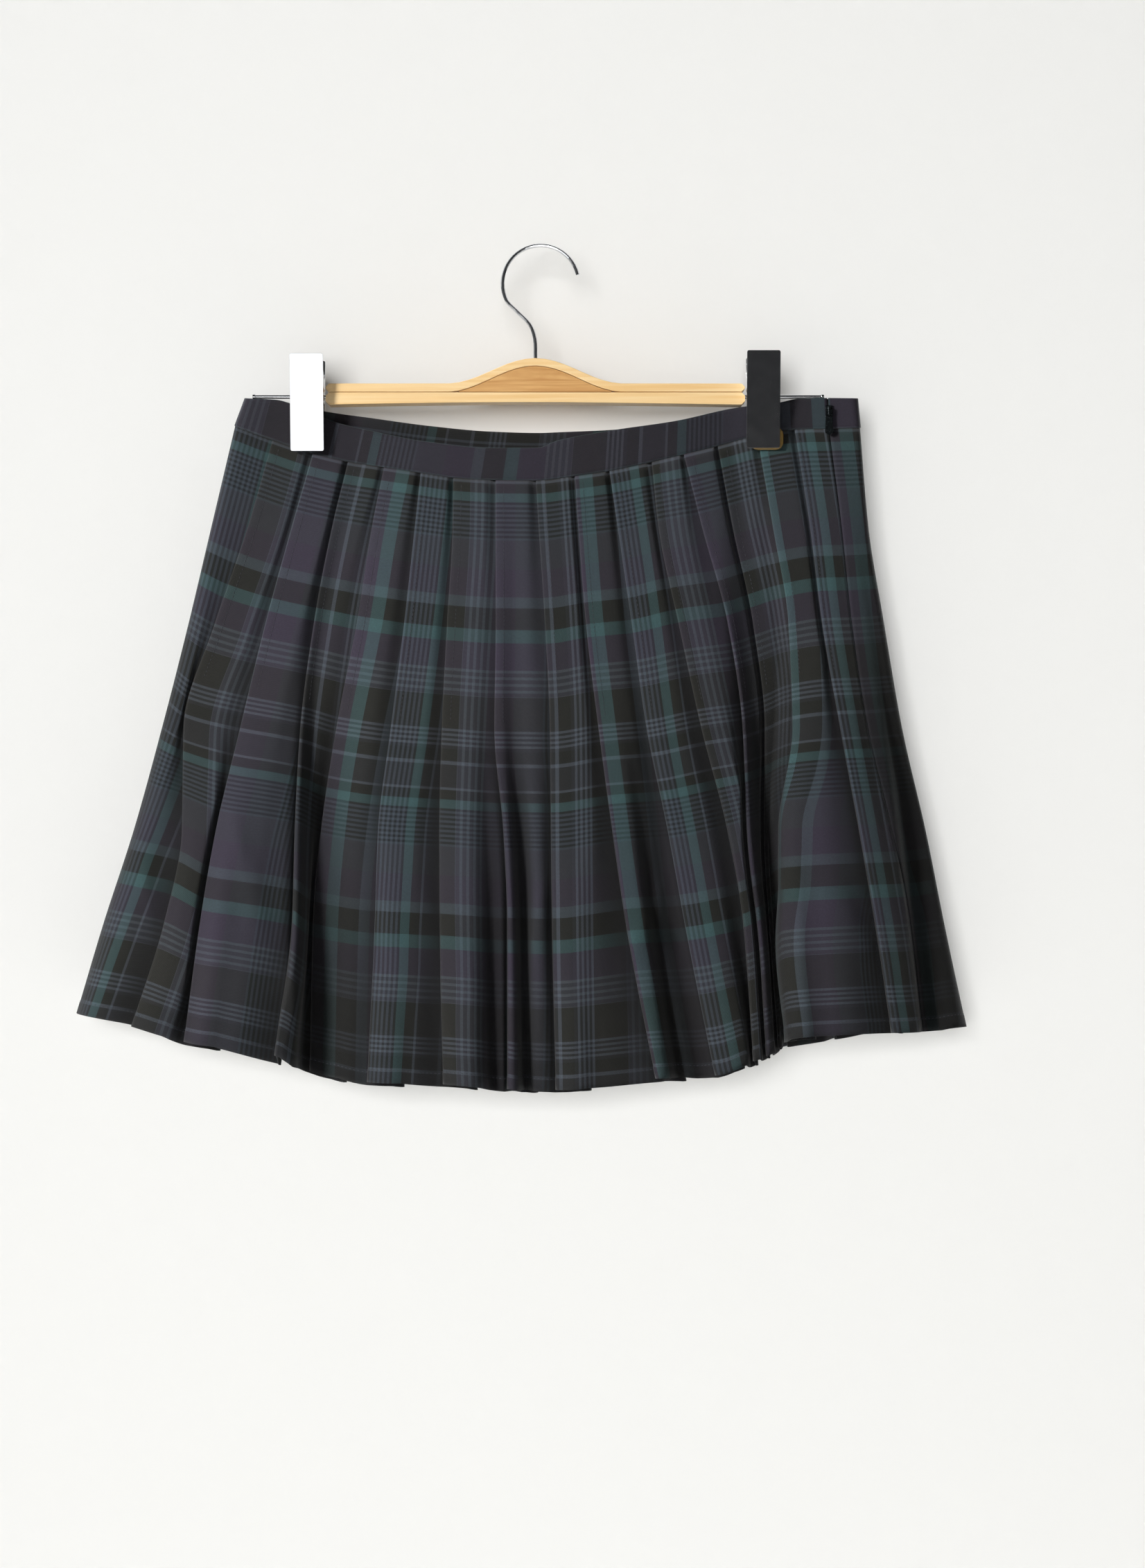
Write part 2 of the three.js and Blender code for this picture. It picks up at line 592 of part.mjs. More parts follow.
const zipShare = (flatX(zipSeam.seamX) - flatX(leftEdge.seamX)) / waistWide;
const bandEndShare = (round) => round / waistWide;
function bandEnd(side, end, rise, angle) {
  const ring = ringOutline(0, side, rise);
  const p = ring.corner(end, angle, 0);
  return { ...p, z: bandHeight(side, rise, clamp01((p.x - ring.left) / (ring.right - ring.left))) };
}
const bandCap = bandEndShare(sideRound.waist + 0.5);
const slitShare = bandEndShare(zipSlit / 2);
function frontBandLine(rise) {
  const points = [bandEnd('front', 'left', rise, 0)];
  points[0].y = -bandEndGap;
  points.push(bandEnd('front', 'left', rise, Math.PI / 6));
  points.push(bandEnd('front', 'left', rise, Math.PI / 3));
  for (let i = 0; i <= bandSteps; i++) {
    points.push(bandPoint('front', rise, mix(bandCap, zipShare - slitShare, i / bandSteps), 0));
  }
  return points;
}
function backBandLine(rise) {
  const points = [];
  for (let i = 0; i <= 3; i++) {
    points.push(bandPoint('front', rise, mix(zipShare + slitShare, 1 - bandCap, i / 3), 0));
  }
  for (const angle of [Math.PI / 3, Math.PI / 6, 0]) points.push(bandEnd('front', 'right', rise, angle));
  for (const angle of [Math.PI / 6, Math.PI / 3]) points.push(bandEnd('back', 'right', rise, angle));
  for (let i = bandSteps; i >= 0; i--) {
    points.push(bandPoint('back', rise, mix(bandCap, 1 - bandCap, i / bandSteps), 0));
  }
  for (const angle of [Math.PI / 3, Math.PI / 6, 0]) points.push(bandEnd('back', 'left', rise, angle));
  points[points.length - 1].y = bandEndGap;
  return points;
}
const waistband = new THREE.Group();
garment.add(waistband);
add(waistband, 'waistband_front', wallSolid(bandRows.map(frontBandLine), bandWall), plaidCloth);
add(waistband, 'waistband_back', wallSolid(bandRows.map(backBandLine), bandWall), plaidCloth);

// Zip: two narrow tapes behind the seam, the slider across them, and its pull tab.
const tapeTop = -8;
const tapeRings = [tapeTop, ...rings.slice(0, 4)];
const tapeLevel = -(bandWall / 2 + seamGap + tapeWall / 2);
function tapeLine(t, from, to) {
  const ring = ringOutline(Math.max(t, 0), 'front');
  const middle = foldX(zipSeam, Math.max(t, 0), ring);
  const points = [];
  for (let i = 0; i <= 4; i++) {
    const p = ring.at(middle + mix(from, to, i / 4), tapeLevel);
    const rise = t < 0 ? -t : 0;
    points.push({ ...p, z: heightAt('front', p.x, Math.max(t, 0), ring) + rise });
  }
  return points;
}
const slitHalf = zipSlit / 2;
const zip = new THREE.Group();
garment.add(zip);
const leftTape = tapeRings.map((t) => tapeLine(t, -slitHalf - tapeWide, -slitHalf));
const rightTape = tapeRings.map((t) => tapeLine(t, slitHalf, slitHalf + tapeWide));
add(zip, 'zip_tape_left', wallSolid(leftTape, tapeWall), zipTape);
add(zip, 'zip_tape_right', wallSolid(rightTape, tapeWall), zipTape);

const sliderRing = ringOutline(0, 'front', 0.5);
const sliderX = mix(sliderRing.left, sliderRing.right, zipShare);
const sliderZ = zOf(593, -8);
const bandFaceY = -(sliderRing.depthAt(sliderX) + bandWall / 2);
const sliderPlate = { wide: 4.4, tall: 8, thick: 1.0, clear: 0.35 };
const bridge = { wide: 1.5, tall: 5.6, leg: 1.0, thick: 0.9, under: 1.7, sunk: 0.2 };
const rearPlate = { wide: 6.6, tall: 7, thick: 1.6, clear: 0.6 };
const neckTall = 4;
const plateY = bandFaceY - sliderPlate.clear - sliderPlate.thick;
const neckDeep = sliderPlate.thick + sliderPlate.clear + bandWall + 2 * seamGap + tapeWall
  + rearPlate.clear;
const legDeep = bridge.under + bridge.thick + bridge.sunk;
const legZ = (bridge.tall - bridge.leg) / 2;
const legBox = (z) => new THREE.BoxGeometry(bridge.wide, legDeep, bridge.leg)
  .translate(0, plateY - legDeep / 2 + bridge.sunk, z);
const sliderSolid = joined(
  new THREE.BoxGeometry(sliderPlate.wide, sliderPlate.thick, sliderPlate.tall)
    .translate(0, plateY + sliderPlate.thick / 2, 0),
  new THREE.BoxGeometry(zipSlit - 2 * seamGap, neckDeep, neckTall).translate(0, plateY + neckDeep / 2, 0),
  new THREE.BoxGeometry(rearPlate.wide, rearPlate.thick, rearPlate.tall)
    .translate(0, plateY + neckDeep + rearPlate.clear, 0),
  legBox(legZ),
  legBox(-legZ),
  new THREE.BoxGeometry(bridge.wide, bridge.thick, bridge.tall)
    .translate(0, plateY - bridge.under - bridge.thick / 2, 0),
);
add(zip, 'zip_slider', geometryOf(sliderSolid), zipMetal).position.set(sliderX, 0, sliderZ);

// Pull tab: a frame round the bridge that widens to a drop-shaped plate.
const tab = { axle: 0.45, inside: 1.35, wire: 0.9, loop: 4.2, long: 15.5, wide: 5.6, thick: 0.9 };
const drop = { points: 16, from: 0.86, turn: 1.28, overlap: 0.2 };
const axleY = plateY - bridge.under / 2;
const loopOuter = tab.inside + tab.wire;
const dropOutline = [];
for (let i = 0; i <= drop.points; i++) {
  const angle = Math.PI * (drop.from + (drop.turn * i) / drop.points);
  const x = (tab.wide / 2) * Math.cos(angle);
  const z = (tab.wide / 2) * Math.sin(angle) - (tab.long - tab.wide / 2);
  dropOutline.push([x, z]);
}
dropOutline.push([loopOuter, -tab.loop + drop.overlap], [-loopOuter, -tab.loop + drop.overlap]);
const boxOutline = (half, low, high) => [[-half, low], [half, low], [half, high], [-half, high]];
const loopWindow = slab(boxOutline(tab.inside, -tab.loop + 0.6, 1), 4);
const loopFrame = cut(solidOf(slab(boxOutline(loopOuter, -tab.loop, 0), tab.thick)), loopWindow);
const dropPlate = slab(dropOutline, tab.thick);
const axle = rodX(tab.axle, -loopOuter, loopOuter, 16);
const pullSolid = loopFrame.add(joined(dropPlate, axle));
add(zip, 'zip_pull', geometryOf(pullSolid), zipMetal).position.set(sliderX, axleY, sliderZ);

// Wooden bar: a lower strip, an upper strip bent over the middle, and the filler under the bend.
const hanger = new THREE.Group();
garment.add(hanger);
const bar = { left: -140.6, right: 133.8, deep: 12, gap: 0.3 };
const barMiddle = -3.4;
const bend = { half: 58, rise: 16.6, thin: 0.5 };
const upperTop = -90.3;
const upperLow = -95.9;
const lowerTop = upperLow - bar.gap;
const lowerLow = -104.2;
const lowerArch = 1.6;
const stripCorner = 2.2;
const hump = (x) => {
  const r = Math.abs(x - barMiddle) / bend.half;
  return r >= 1 ? 0 : Math.pow(Math.cos((r * Math.PI) / 2), 2);
};
function strip(left, right, top, low, steps, corner = 0) {
  const over = [];
  const below = [];
  for (let i = 0; i <= steps; i++) {
    const x = mix(left, right, i / steps);
    const ends = i === 0 || i === steps ? corner : 0;
    over.push([x, top(x) - ends]);
    below.push([x, low(x) + ends]);
  }
  if (corner > 0) {
    over.splice(1, 0, [left + corner, top(left + corner)]);
    over.splice(over.length - 1, 0, [right - corner, top(right - corner)]);
    below.splice(1, 0, [left + corner, low(left + corner)]);
    below.splice(below.length - 1, 0, [right - corner, low(right - corner)]);
  }
  return [...below, ...over.reverse()];
}
const shankHole = { radius: 1.7, long: 40 };
const drill = () => new THREE.CylinderGeometry(shankHole.radius, shankHole.radius, shankHole.long, 20)
  .rotateX(Math.PI / 2)
  .translate(barMiddle, 0, upperTop - 1 + shankHole.long / 2);
const overBend = (x) => upperLow + (bend.rise + bend.thin) * hump(x);
const bentTop = (x) => upperTop + bend.rise * hump(x);
const upperOutline = strip(bar.left, bar.right, bentTop, overBend, 44, stripCorner);
add(hanger, 'bar_upper', geometryOf(cut(solidOf(slab(upperOutline, bar.deep)), drill())), beech);
const fillerShare = 0.86;
const fillHalf = bend.half * fillerShare;
const fillerOutline = strip(
  barMiddle - fillHalf, barMiddle + fillHalf, (x) => overBend(x) - bar.gap, () => upperLow, 24);
add(hanger, 'bar_filler', geometryOf(cut(solidOf(slab(fillerOutline, bar.deep)), drill())), fillerWood);
const rod = { radius: 1.3, z: -98.2, left: -189, right: 186, sunk: 16, gap: 0.3 };
const flare = { rise: 0.5, long: 1.8 };
const rodHole = (from, to) => rodX(rod.radius + rod.gap, from, to).translate(0, 0, rod.z);
const archLow = (x) => lowerLow + lowerArch * Math.cos(((x - barMiddle) / (bar.right - bar.left)) * Math.PI);
const lowerOutline = strip(bar.left, bar.right, () => lowerTop, archLow, 16, stripCorner);
const lowerStrip = cut(
  solidOf(slab(lowerOutline, bar.deep)),
  rodHole(bar.left - 5, bar.left + rod.sunk),
  rodHole(bar.right - rod.sunk, bar.right + 5),
);
add(hanger, 'bar_lower', geometryOf(lowerStrip), beech);

// Steel rods that carry the clips, with a flared end.
function clipRod(from, to, flareFrom) {
  const flared = rodX(rod.radius + flare.rise, flareFrom, flareFrom + flare.long);
  return geometryOf(joined(rodX(rod.radius, from, to), flared));
}
const rodIn = rod.sunk - 0.5;
add(hanger, 'rod_left', clipRod(rod.left, bar.left + rodIn, rod.left), plated).position.z = rod.z;
add(hanger, 'rod_right', clipRod(bar.right - rodIn, rod.right, rod.right - flare.long), plated)
  .position.z = rod.z;

// Hook: round wire, an open ring that runs down into the bar.
const hook = { wire: 1.3, ring: 25, from: 13, to: 209, step: 7, rings: 46, sides: 12 };
const shank = [
  { x: -14.6, z: -43 },
  { x: -6.6, z: -51.5 },
  { x: -3.8, z: -60 },
  { x: barMiddle, z: -70 },
  { x: barMiddle, z: -88 },
];
const hookPath = [];
for (let degrees = hook.from; degrees <= hook.to; degrees += hook.step) {
  const angle = (degrees * Math.PI) / 180;
  const z = hook.wire - hook.ring + hook.ring * Math.sin(angle);
  hookPath.push(new THREE.Vector3(hook.ring * Math.cos(angle), 0, z));
}
for (const { x, z } of shank) {
  hookPath.push(new THREE.Vector3(x, 0, z));
}
add(hanger, 'hook', wire(new THREE.CatmullRomCurve3(hookPath), hook.wire, hook.rings, hook.sides), plated);

// Pinch clips: two bent plates that turn on the rod, a coil spring, and a soft pad in each jaw.
const clip = { wide: 21.8, backWide: 19, thick: 1.2, top: -68.5, low: -131.5 };
const jaw = { pad: 5.6, padThick: 1.5, open: 13.2, clear: 0.15 };
const flange = { thick: 1.0, room: 0.35, outline: [[0, -1.9], [11.8, -1.9], [11.8, 6], [0, 18]] };
const coilSize = { turns: 4.5, long: 7, round: 2.3, wire: 0.6, steps: 54, sides: 6 };
const padSize = { wide: 21.4, tall: 15, corner: 5, lift: 6.3 };
const jawPlane = jaw.pad + jaw.padThick + jaw.clear;
const plateLong = clip.top - clip.low;
const lean = Math.atan2(jaw.open - jawPlane, plateLong);
function clipPlate(side, wide, drop) {
  const lay = (geometry) => {
    geometry.translate(0, clip.thick / 2, plateLong / 2).rotateX(lean);
    if (side > 0) geometry.rotateZ(Math.PI);
    return geometry.translate(0, side * (jawPlane + clip.thick), clip.low);
  };
  const flangeAt = (x) => {
    const shape = new THREE.Shape(flange.outline.map(([y, z]) => new THREE.Vector2(y, z)));
    return new THREE.ExtrudeGeometry(shape, { depth: flange.thick, bevelEnabled: false })
      .rotateX(Math.PI / 2)
      .rotateZ(Math.PI / 2)
      .translate(x, 0, drop);
  };
  const plate = joined(
    lay(slab(roundedRect(wide, plateLong, 1.2, 3), clip.thick)),
    lay(flangeAt(-wide / 2)),
    lay(flangeAt(wide / 2 - flange.thick)),
  );
  return geometryOf(cut(plate, rodX(rod.radius + flange.room, -wide, wide).translate(0, 0, rod.z + drop)));
}
function coil(at, axis) {
  const points = [];
  for (let i = 0; i <= coilSize.steps; i++) {
    const share = i / coilSize.steps;
    const angle = share * coilSize.turns * Math.PI * 2;
    const x = at + coilSize.long * (share - 0.5);
    const y = coilSize.round * Math.cos(angle);
    points.push(new THREE.Vector3(x, y, axis + coilSize.round * Math.sin(angle)));
  }
  return wire(new THREE.CatmullRomCurve3(points), coilSize.wire, coilSize.steps, coilSize.sides);
}
const padShape = () => slab(roundedRect(padSize.wide, padSize.tall, padSize.corner), jaw.padThick);
const clips = [
  { name: 'left', x: -152.3, drop: 3.4, padShift: 0, padLift: 1.9, coil: 4.1 },
  { name: 'right', x: 145.4, drop: 1.4, padShift: 2.6, padLift: 0.2, coil: -4.1 },
];
for (const one of clips) {
  const pair = new THREE.Group();
  pair.position.set(one.x, 0, -one.drop);
  hanger.add(pair);
  add(pair, `clip_${one.name}_front`, clipPlate(-1, clip.wide, one.drop), plated);
  add(pair, `clip_${one.name}_back`, clipPlate(1, clip.backWide, one.drop), plated);
  add(pair, `clip_${one.name}_spring`, coil(one.coil, rod.z + one.drop), plated);
  for (const [face, side] of [['front', -1], ['back', 1]]) {
    const soft = add(pair, `pad_${one.name}_${face}`, padShape(), clearVinyl);
    const padY = side * (jaw.pad + jaw.padThick / 2);
    soft.position.set(one.padShift, padY, clip.low + padSize.lift + one.padLift);
  }
}

export default garment;
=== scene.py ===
# A pleated plaid mini skirt on a wooden clip hanger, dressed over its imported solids.
import math

import bmesh
import bpy
import numpy as np
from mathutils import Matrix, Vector


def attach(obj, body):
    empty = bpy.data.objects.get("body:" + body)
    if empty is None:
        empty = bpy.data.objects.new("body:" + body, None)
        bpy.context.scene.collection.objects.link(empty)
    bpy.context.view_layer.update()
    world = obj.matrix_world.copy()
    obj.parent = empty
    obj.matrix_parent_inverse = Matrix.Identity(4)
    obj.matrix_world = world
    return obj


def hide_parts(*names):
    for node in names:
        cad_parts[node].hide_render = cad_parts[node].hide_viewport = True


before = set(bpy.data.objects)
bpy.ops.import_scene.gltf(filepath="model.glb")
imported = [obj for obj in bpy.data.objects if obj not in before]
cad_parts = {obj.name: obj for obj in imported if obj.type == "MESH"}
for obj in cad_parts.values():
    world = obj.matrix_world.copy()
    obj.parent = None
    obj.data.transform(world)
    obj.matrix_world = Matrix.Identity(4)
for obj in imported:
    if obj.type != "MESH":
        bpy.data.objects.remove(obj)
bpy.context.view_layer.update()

# Skirt cloth: a plaid wool-like twill, cut as a front and a back and laid in knife pleats that all turn
# one way. The pleats are stitched down over the hips and hang free below. Lengths are in millimetres
# until the mesh is made; sights on the garment are picture points, turned to millimetres by one scale.
MM = 0.001
SCALE = 0.455
EYE = (826.0, 1131.5)
HOOK = (780.0, 357.0)
EYE_AWAY = 1500.0
CLOTH_LENGTH = 400.0
STITCHED = 160.0
CLOTH_THICK = 0.7
WALL = 1.0
LAYER_WAIST = 1.35
LAYER_HEM = 2.5
PLEAT_CLOTH = 181.5
SEAM_GAP = 0.3
HEM_TURN = 8.4

eye_x = (EYE[0] - HOOK[0]) * SCALE
eye_z = (HOOK[1] - EYE[1]) * SCALE


def flat_x(px):
    return (px - HOOK[0]) * SCALE


def x_of(px, y):
    return eye_x + (px - EYE[0]) * SCALE * (1 + y / EYE_AWAY)


def z_of(py, y):
    return eye_z + (EYE[1] - py) * SCALE * (1 + y / EYE_AWAY)


# Columns: name, seam x, seam y, x at the path rows, hem x, hem y.
PATH_ROWS = [760, 900, 1050, 1200, 1330]
FOLDS = [
    ("left_edge", 340, 615.5, [306, 273, 235, 194, 152], 113, 1462),
    ("a", 394, 636, [358.6, 311, 266, 264, 239], 192, 1481),
    ("b", 452, 655, [422, 384, 348, 313, 291], 268, 1503),
    ("c", 503, 667, [480, 453, 433, 424, 420], 397, 1522),
    ("d", 555, 675, [538, 516, 487, 464, 452], 447, 1546),
    ("d2", 608, 683, [599.5, 584, 565, 547, 543], 533, 1561),
    ("e", 655, 690, [654, 646, 638.5, 635, 635.5], 641, 1564),
    ("f", 716, 693.5, [716, 716, 714, 726, 731], 731, 1571),
    ("g", 774, 694, [778, 787, 794, 795.5, 797], 803, 1572),
    ("h", 830, 687.5, [835, 846, 864, 884, 903], 946, 1556),
    ("i", 880, 680, [891.5, 912, 933.5, 965.5, 989.5], 1034, 1551),
    ("j", 941, 667, [950.5, 979.5, 1012, 1050, 1072], 1087, 1531),
    ("k", 987, 656, [1013, 1050, 1071, 1077, 1090], 1105, 1524),
    ("k2", 1036, 644, [1057, 1087, 1104, 1102, 1109], 1122, 1514),
    ("k3", 1093, 629, [1116, 1139, 1145, 1127, 1128], 1140, 1496),
    ("l", 1147, 620.5, [1169, 1186.5, 1212, 1239, 1261], 1285, 1490),
    ("zip_seam", 1196, 619, [1214, 1229, 1252, 1287, 1311], 1329, 1489),
    ("right_edge", 1240, 618, [1252, 1274.7, 1300.6, 1335, 1361], 1393, 1482),
]
# How each fold lies, in millimetres. Columns: hidden width at the waist, where the stitching ends and at
# the hem; how far its top layer rises, its bottom layer sinks and its face bulges at the hem.
OPENS = {
    "a": (19, 20, 22, 2.5, 1.5, 1.5), "b": (19, 20, 22, 2, 1.5, 3), "c": (19, 10, 3, 4, 1, 0),
    "d": (19, 20, 22, 0.5, 2, 1), "d2": (17, 19, 22, 2, 1.5, 2.5), "e": (19, 20, 22, 3, 2, 2),
    "f": (19, 18.5, 18, 3, 1.5, -1), "g": (19, 20, 22, 2.5, 1.5, 3), "h": (18, 18.5, 20, 2, 1.5, -1),
    "i": (19, 19.5, 20, 3, 2, 1.5), "j": (16, 13, 8, 2, 1, 0), "k": (17, 16, 14, 0.5, 1, 0),
    "k2": (19, 8, 4, 0.5, 0.5, 0), "k3": (18, 17.5, 16, 1, 0, 4), "l": (7, 7.5, 9, 3, 2, 0),
}
# Columns: share of the width, front top, back top.
WAIST_LINE = [
    (0, 575, 575), (0.05, 577, 578), (0.1, 593, 589), (0.15, 610, 597), (0.2, 621, 603),
    (0.3, 638, 615), (0.4, 646.5, 623), (0.48, 646, 625), (0.51, 636, 624), (0.6, 621, 620.5),
    (0.7, 608, 610), (0.8, 589, 594), (0.845, 584, 588), (0.873, 581, 584), (0.9, 576, 579),
    (0.95, 574.5, 576), (1, 575, 575),
]
# Columns: share of the width, stand from the middle plane at waist, at the end of the stitching, at hem.
OPENNESS = [
    (0, 4.6, 10, 21), (0.085, 2.5, 10, 28), (0.145, 2.5, 12, 31), (0.3, 8, 20, 37),
    (0.5, 11, 24, 40), (0.7, 8, 20, 37), (0.815, 2.5, 13, 32), (0.885, 2.5, 12, 29), (1, 6, 12, 22),
]
SIDE_ROUND = (3.5, 8, 18)
# Valleys between groups of pleats, at four picture heights. Columns: left side's picture x, how many mm
# it takes to fall, right side's x, how many mm that takes, and the depth in mm.
RELIEF_ROWS = [700, 1000, 1250, 1500]
VALLEYS = [
    ([500, 446, 438, 440], 13, [560, 515, 520, 512], 44, [1.2, 6, 14, 18]),
    ([690, 690, 696, 698], 16, [706, 702, 716, 720], 7, [0, 1, 5, 7]),
    ([735, 732, 743, 745], 8, [755, 765, 772, 780], 15, [0, 2.5, 9, 12]),
    ([878, 898, 926, 962], 11, [905, 934, 968, 1016], 10, [0, 1.5, 8, 11]),
    ([1040, 1068, 1092, 1115], 18, [1085, 1130, 1120, 1134], 10, [0.3, 9, 14, 11]),
    ([1215, 1260, 1295, 1321], 9, [1235, 1285, 1322, 1352], 14, [0, 4, 11, 13]),
]
# Broad swells. Columns: picture x of the crest, half its width in mm, and its height in mm.
SWELLS = [
    ([1125, 1178, 1192, 1215], 22, [0, 4, 9, 11]),
    ([430, 388, 352, 345], 20, [0, 1.5, 4, 6]),
    ([690, 680, 686, 690], 18, [0, 1, 3, 4]),
]
# Soft diagonal creases pressed into the free part: picture points along each, width and height in mm.
CREASES = [
    ([(334, 1160), (349, 1200), (378, 1320), (396, 1400)], 5.0, -1.6),
    ([(618, 1240), (636, 1350), (664, 1500)], 5.0, -1.5),
    ([(790, 1210), (772, 1326), (766, 1520)], 5.5, -1.8),
    ([(960, 1230), (930, 1295), (900, 1360)], 5.0, -1.5),
    ([(1184, 1290), (1230, 1380), (1280, 1470)], 6.0, -1.8),
    ([(560, 1180), (548, 1290), (580, 1420)], 6.0, 1.1),
    ([(860, 1120), (840, 1260), (850, 1420)], 6.0, -1.0),
    ([(232, 1150), (214, 1260), (226, 1400)], 6.0, -1.2),
]
FRONT_NAMES = [fold[0] for fold in FOLDS[1:-2]]
BY_NAME = {fold[0]: fold for fold in FOLDS}


def curve_at(xs, ys, x):
    """A smooth curve through points whose first column rises, flat at its turns."""
    xs = np.asarray(xs, float)
    ys = np.asarray(ys, float)
    slopes = np.diff(ys) / np.diff(xs)
    tangents = np.empty(len(xs))
    tangents[0] = slopes[0]
    tangents[-1] = slopes[-1]
    before, after = slopes[:-1], slopes[1:]
    total = np.where(np.abs(before + after) < 1e-12, 1.0, before + after)
    tangents[1:-1] = np.where(before * after <= 0, 0.0, 2 * before * after / total)
    x = np.clip(np.asarray(x, float), xs[0], xs[-1])
    i = np.clip(np.searchsorted(xs, x, side="right") - 1, 0, len(xs) - 2)
    h = xs[i + 1] - xs[i]
    s = (x - xs[i]) / h
    s2 = s * s
    s3 = s2 * s
    return ((2 * s3 - 3 * s2 + 1) * ys[i] + (s3 - 2 * s2 + s) * h * tangents[i]
            + (3 * s2 - 2 * s3) * ys[i + 1] + (s3 - s2) * h * tangents[i + 1])


def ease(v):
    v = np.clip(v, 0, 1)
    return v * v * (3 - 2 * v)


def mix(a, b, f):
    return a + (b - a) * f


def down_rows(values, t):
    return float(curve_at([0, STITCHED, CLOTH_LENGTH], values, max(t, 0.0)))


def fold_px(name, t):
    _, seam_x, seam_y, path, hem_x, hem_y = BY_NAME[name]
    py = seam_y + (t / CLOTH_LENGTH) * (hem_y - seam_y)
    return float(curve_at([seam_y, *PATH_ROWS, hem_y], [seam_x, *path, hem_x], py)), py


def opened(t):
    start = STITCHED * 0.9
    return max(0.0, min(1.0, (t - start) / (CLOTH_LENGTH - start))) ** 1.2


def layer_at(t):
    return mix(LAYER_WAIST, LAYER_HEM, float(ease(t / CLOTH_LENGTH)))


class Ring:
    """The skirt's outline at a distance t below the waist seam, before it is folded into pleats."""

    def __init__(self, t, side, band_rise=0.0):
        down = max(t, 0.0)
        self.t = down
        self.side = side
        self.sign = -1.0 if side == "front" else 1.0
        self.left = flat_x(fold_px("left_edge", down)[0] + 15 * band_rise)
        self.right = flat_x(fold_px("right_edge", down)[0] - 4 * band_rise)
        self.round_x = down_rows(SIDE_ROUND, down)
        self.least = layer_at(down) + WALL / 2 + 0.35
        self.row_py = 690 + (t / CLOTH_LENGTH) * 820
        self.stand = [down_rows(row[1:], down) for row in OPENNESS]

    def depth(self, x):
        x = np.asarray(x, float)
        share = (x - self.left) / (self.right - self.left)
        d = curve_at([row[0] for row in OPENNESS], self.stand, share)
        if self.side == "front":
            for lefts, left_fall, rights, right_fall, by in VALLEYS:
                start = flat_x(float(curve_at(RELIEF_ROWS, lefts, self.row_py))) - left_fall / 2
                end = flat_x(float(curve_at(RELIEF_ROWS, rights, self.row_py))) + right_fall / 2
                amount = float(curve_at(RELIEF_ROWS, by, self.row_py))
                d = d - amount * ease((x - start) / left_fall) * ease((end - x) / right_fall)
            for xs, wide, by in SWELLS:
                middle = flat_x(float(curve_at(RELIEF_ROWS, xs, self.row_py)))
                amount = float(curve_at(RELIEF_ROWS, by, self.row_py))
                d = d + amount * np.exp(-((x - middle) / wide) ** 2 / 2)
            for points, wide, amount in CREASES:
                ys = [p[1] for p in points]
                if ys[0] < self.row_py < ys[-1]:
                    middle = flat_x(float(curve_at(ys, [p[0] for p in points], self.row_py)))
                    along = (self.row_py - ys[0]) / (ys[-1] - ys[0])
                    fade = math.sin(math.pi * along) ** 0.7
                    off = (x - middle) / wide
                    d = d - amount * fade * np.exp(-np.sqrt(off * off + 0.05) + 0.22)
        d = (d + self.least + np.sqrt((d - self.least) ** 2 + 0.6)) / 2
        from_end = np.minimum(x - self.left, self.right - x)
        inside = np.clip(1 - (1 - np.clip(from_end, 0, None) / self.round_x) ** 2, 0, 1)
        return d * np.where(from_end >= self.round_x, 1.0, np.sqrt(inside))

    def at(self, x, level):
        x = np.asarray(x, float)
        room = np.minimum(x - self.left, self.right - x) * 0.5
        step = np.clip(room, 0.02, 6.0)
        slope = (self.depth(x + step) - self.depth(x - step)) / (2 * step)
        length = np.hypot(1, slope)
        return x - slope / length * level, self.sign * (self.depth(x) + level / length)

    def corner(self, end, angles, level=0.0):
        out = -1.0 if end == "left" else 1.0
        near = self.left + self.round_x if end == "left" else self.right - self.round_x
        d = float(self.depth(near))
        angles = np.asarray(angles, float)
        nx = np.cos(angles) * d
        ny = np.sin(angles) * self.round_x
        length = np.hypot(nx, ny)
        x = near + out * (self.round_x * np.cos(angles) + nx / length * level)
        return x, self.sign * (d * np.sin(angles) + ny / length * level)


def fold_x(name, t, ring):
    px = fold_px(name, t)[0]
    near = flat_x(px)
    if near <= ring.left + 1 or near >= ring.right - 1:
        return near
    return x_of(px, -float(ring.depth(near)))


def height_at(side, x, t, ring):
    x = np.clip(np.asarray(x, float), ring.left, ring.right)
    y = ring.sign * ring.depth(x)
    share = (x - ring.left) / (ring.right - ring.left)
    left, right = FOLDS[0], FOLDS[-1]
    if side == "back":
        top = curve_at([row[0] for row in WAIST_LINE], [row[2] for row in WAIST_LINE], share)
        middle = ease(4 * share * (1 - share))
        seam = top + mix(mix(left[2], right[2], share) - 575, 45, middle)
        drop = mix(mix(left[5] - left[2], right[5] - right[2], share), 878, middle)
        return z_of(seam + drop * (t / CLOTH_LENGTH), y)
    xs = np.array([fold_x(fold[0], t, ring) for fold in FOLDS])
    ys = [fold_px(fold[0], t)[1] for fold in FOLDS]
    for i in range(1, len(xs)):
        xs[i] = max(xs[i], xs[i - 1] + 0.5)
    return z_of(curve_at(xs, ys, x), y)


# Points in each stretch of a pleat: bottom layer, inner turn, middle layer, fold edge, top layer, slope.
BOTTOM, TURN, MIDDLE, EDGE, TOP, SLOPE = 4, 5, 4, 7, 9, 5
CROWD_FROM, CROWD_FULL, SLOPE_ROOM, LEAST_UNDER = 5.4, 3.4, 5.6, 3.0
SLOPE_CLEAR, SLOPE_SHORT, SLOPE_START = 0.8, 1.0, 0.03


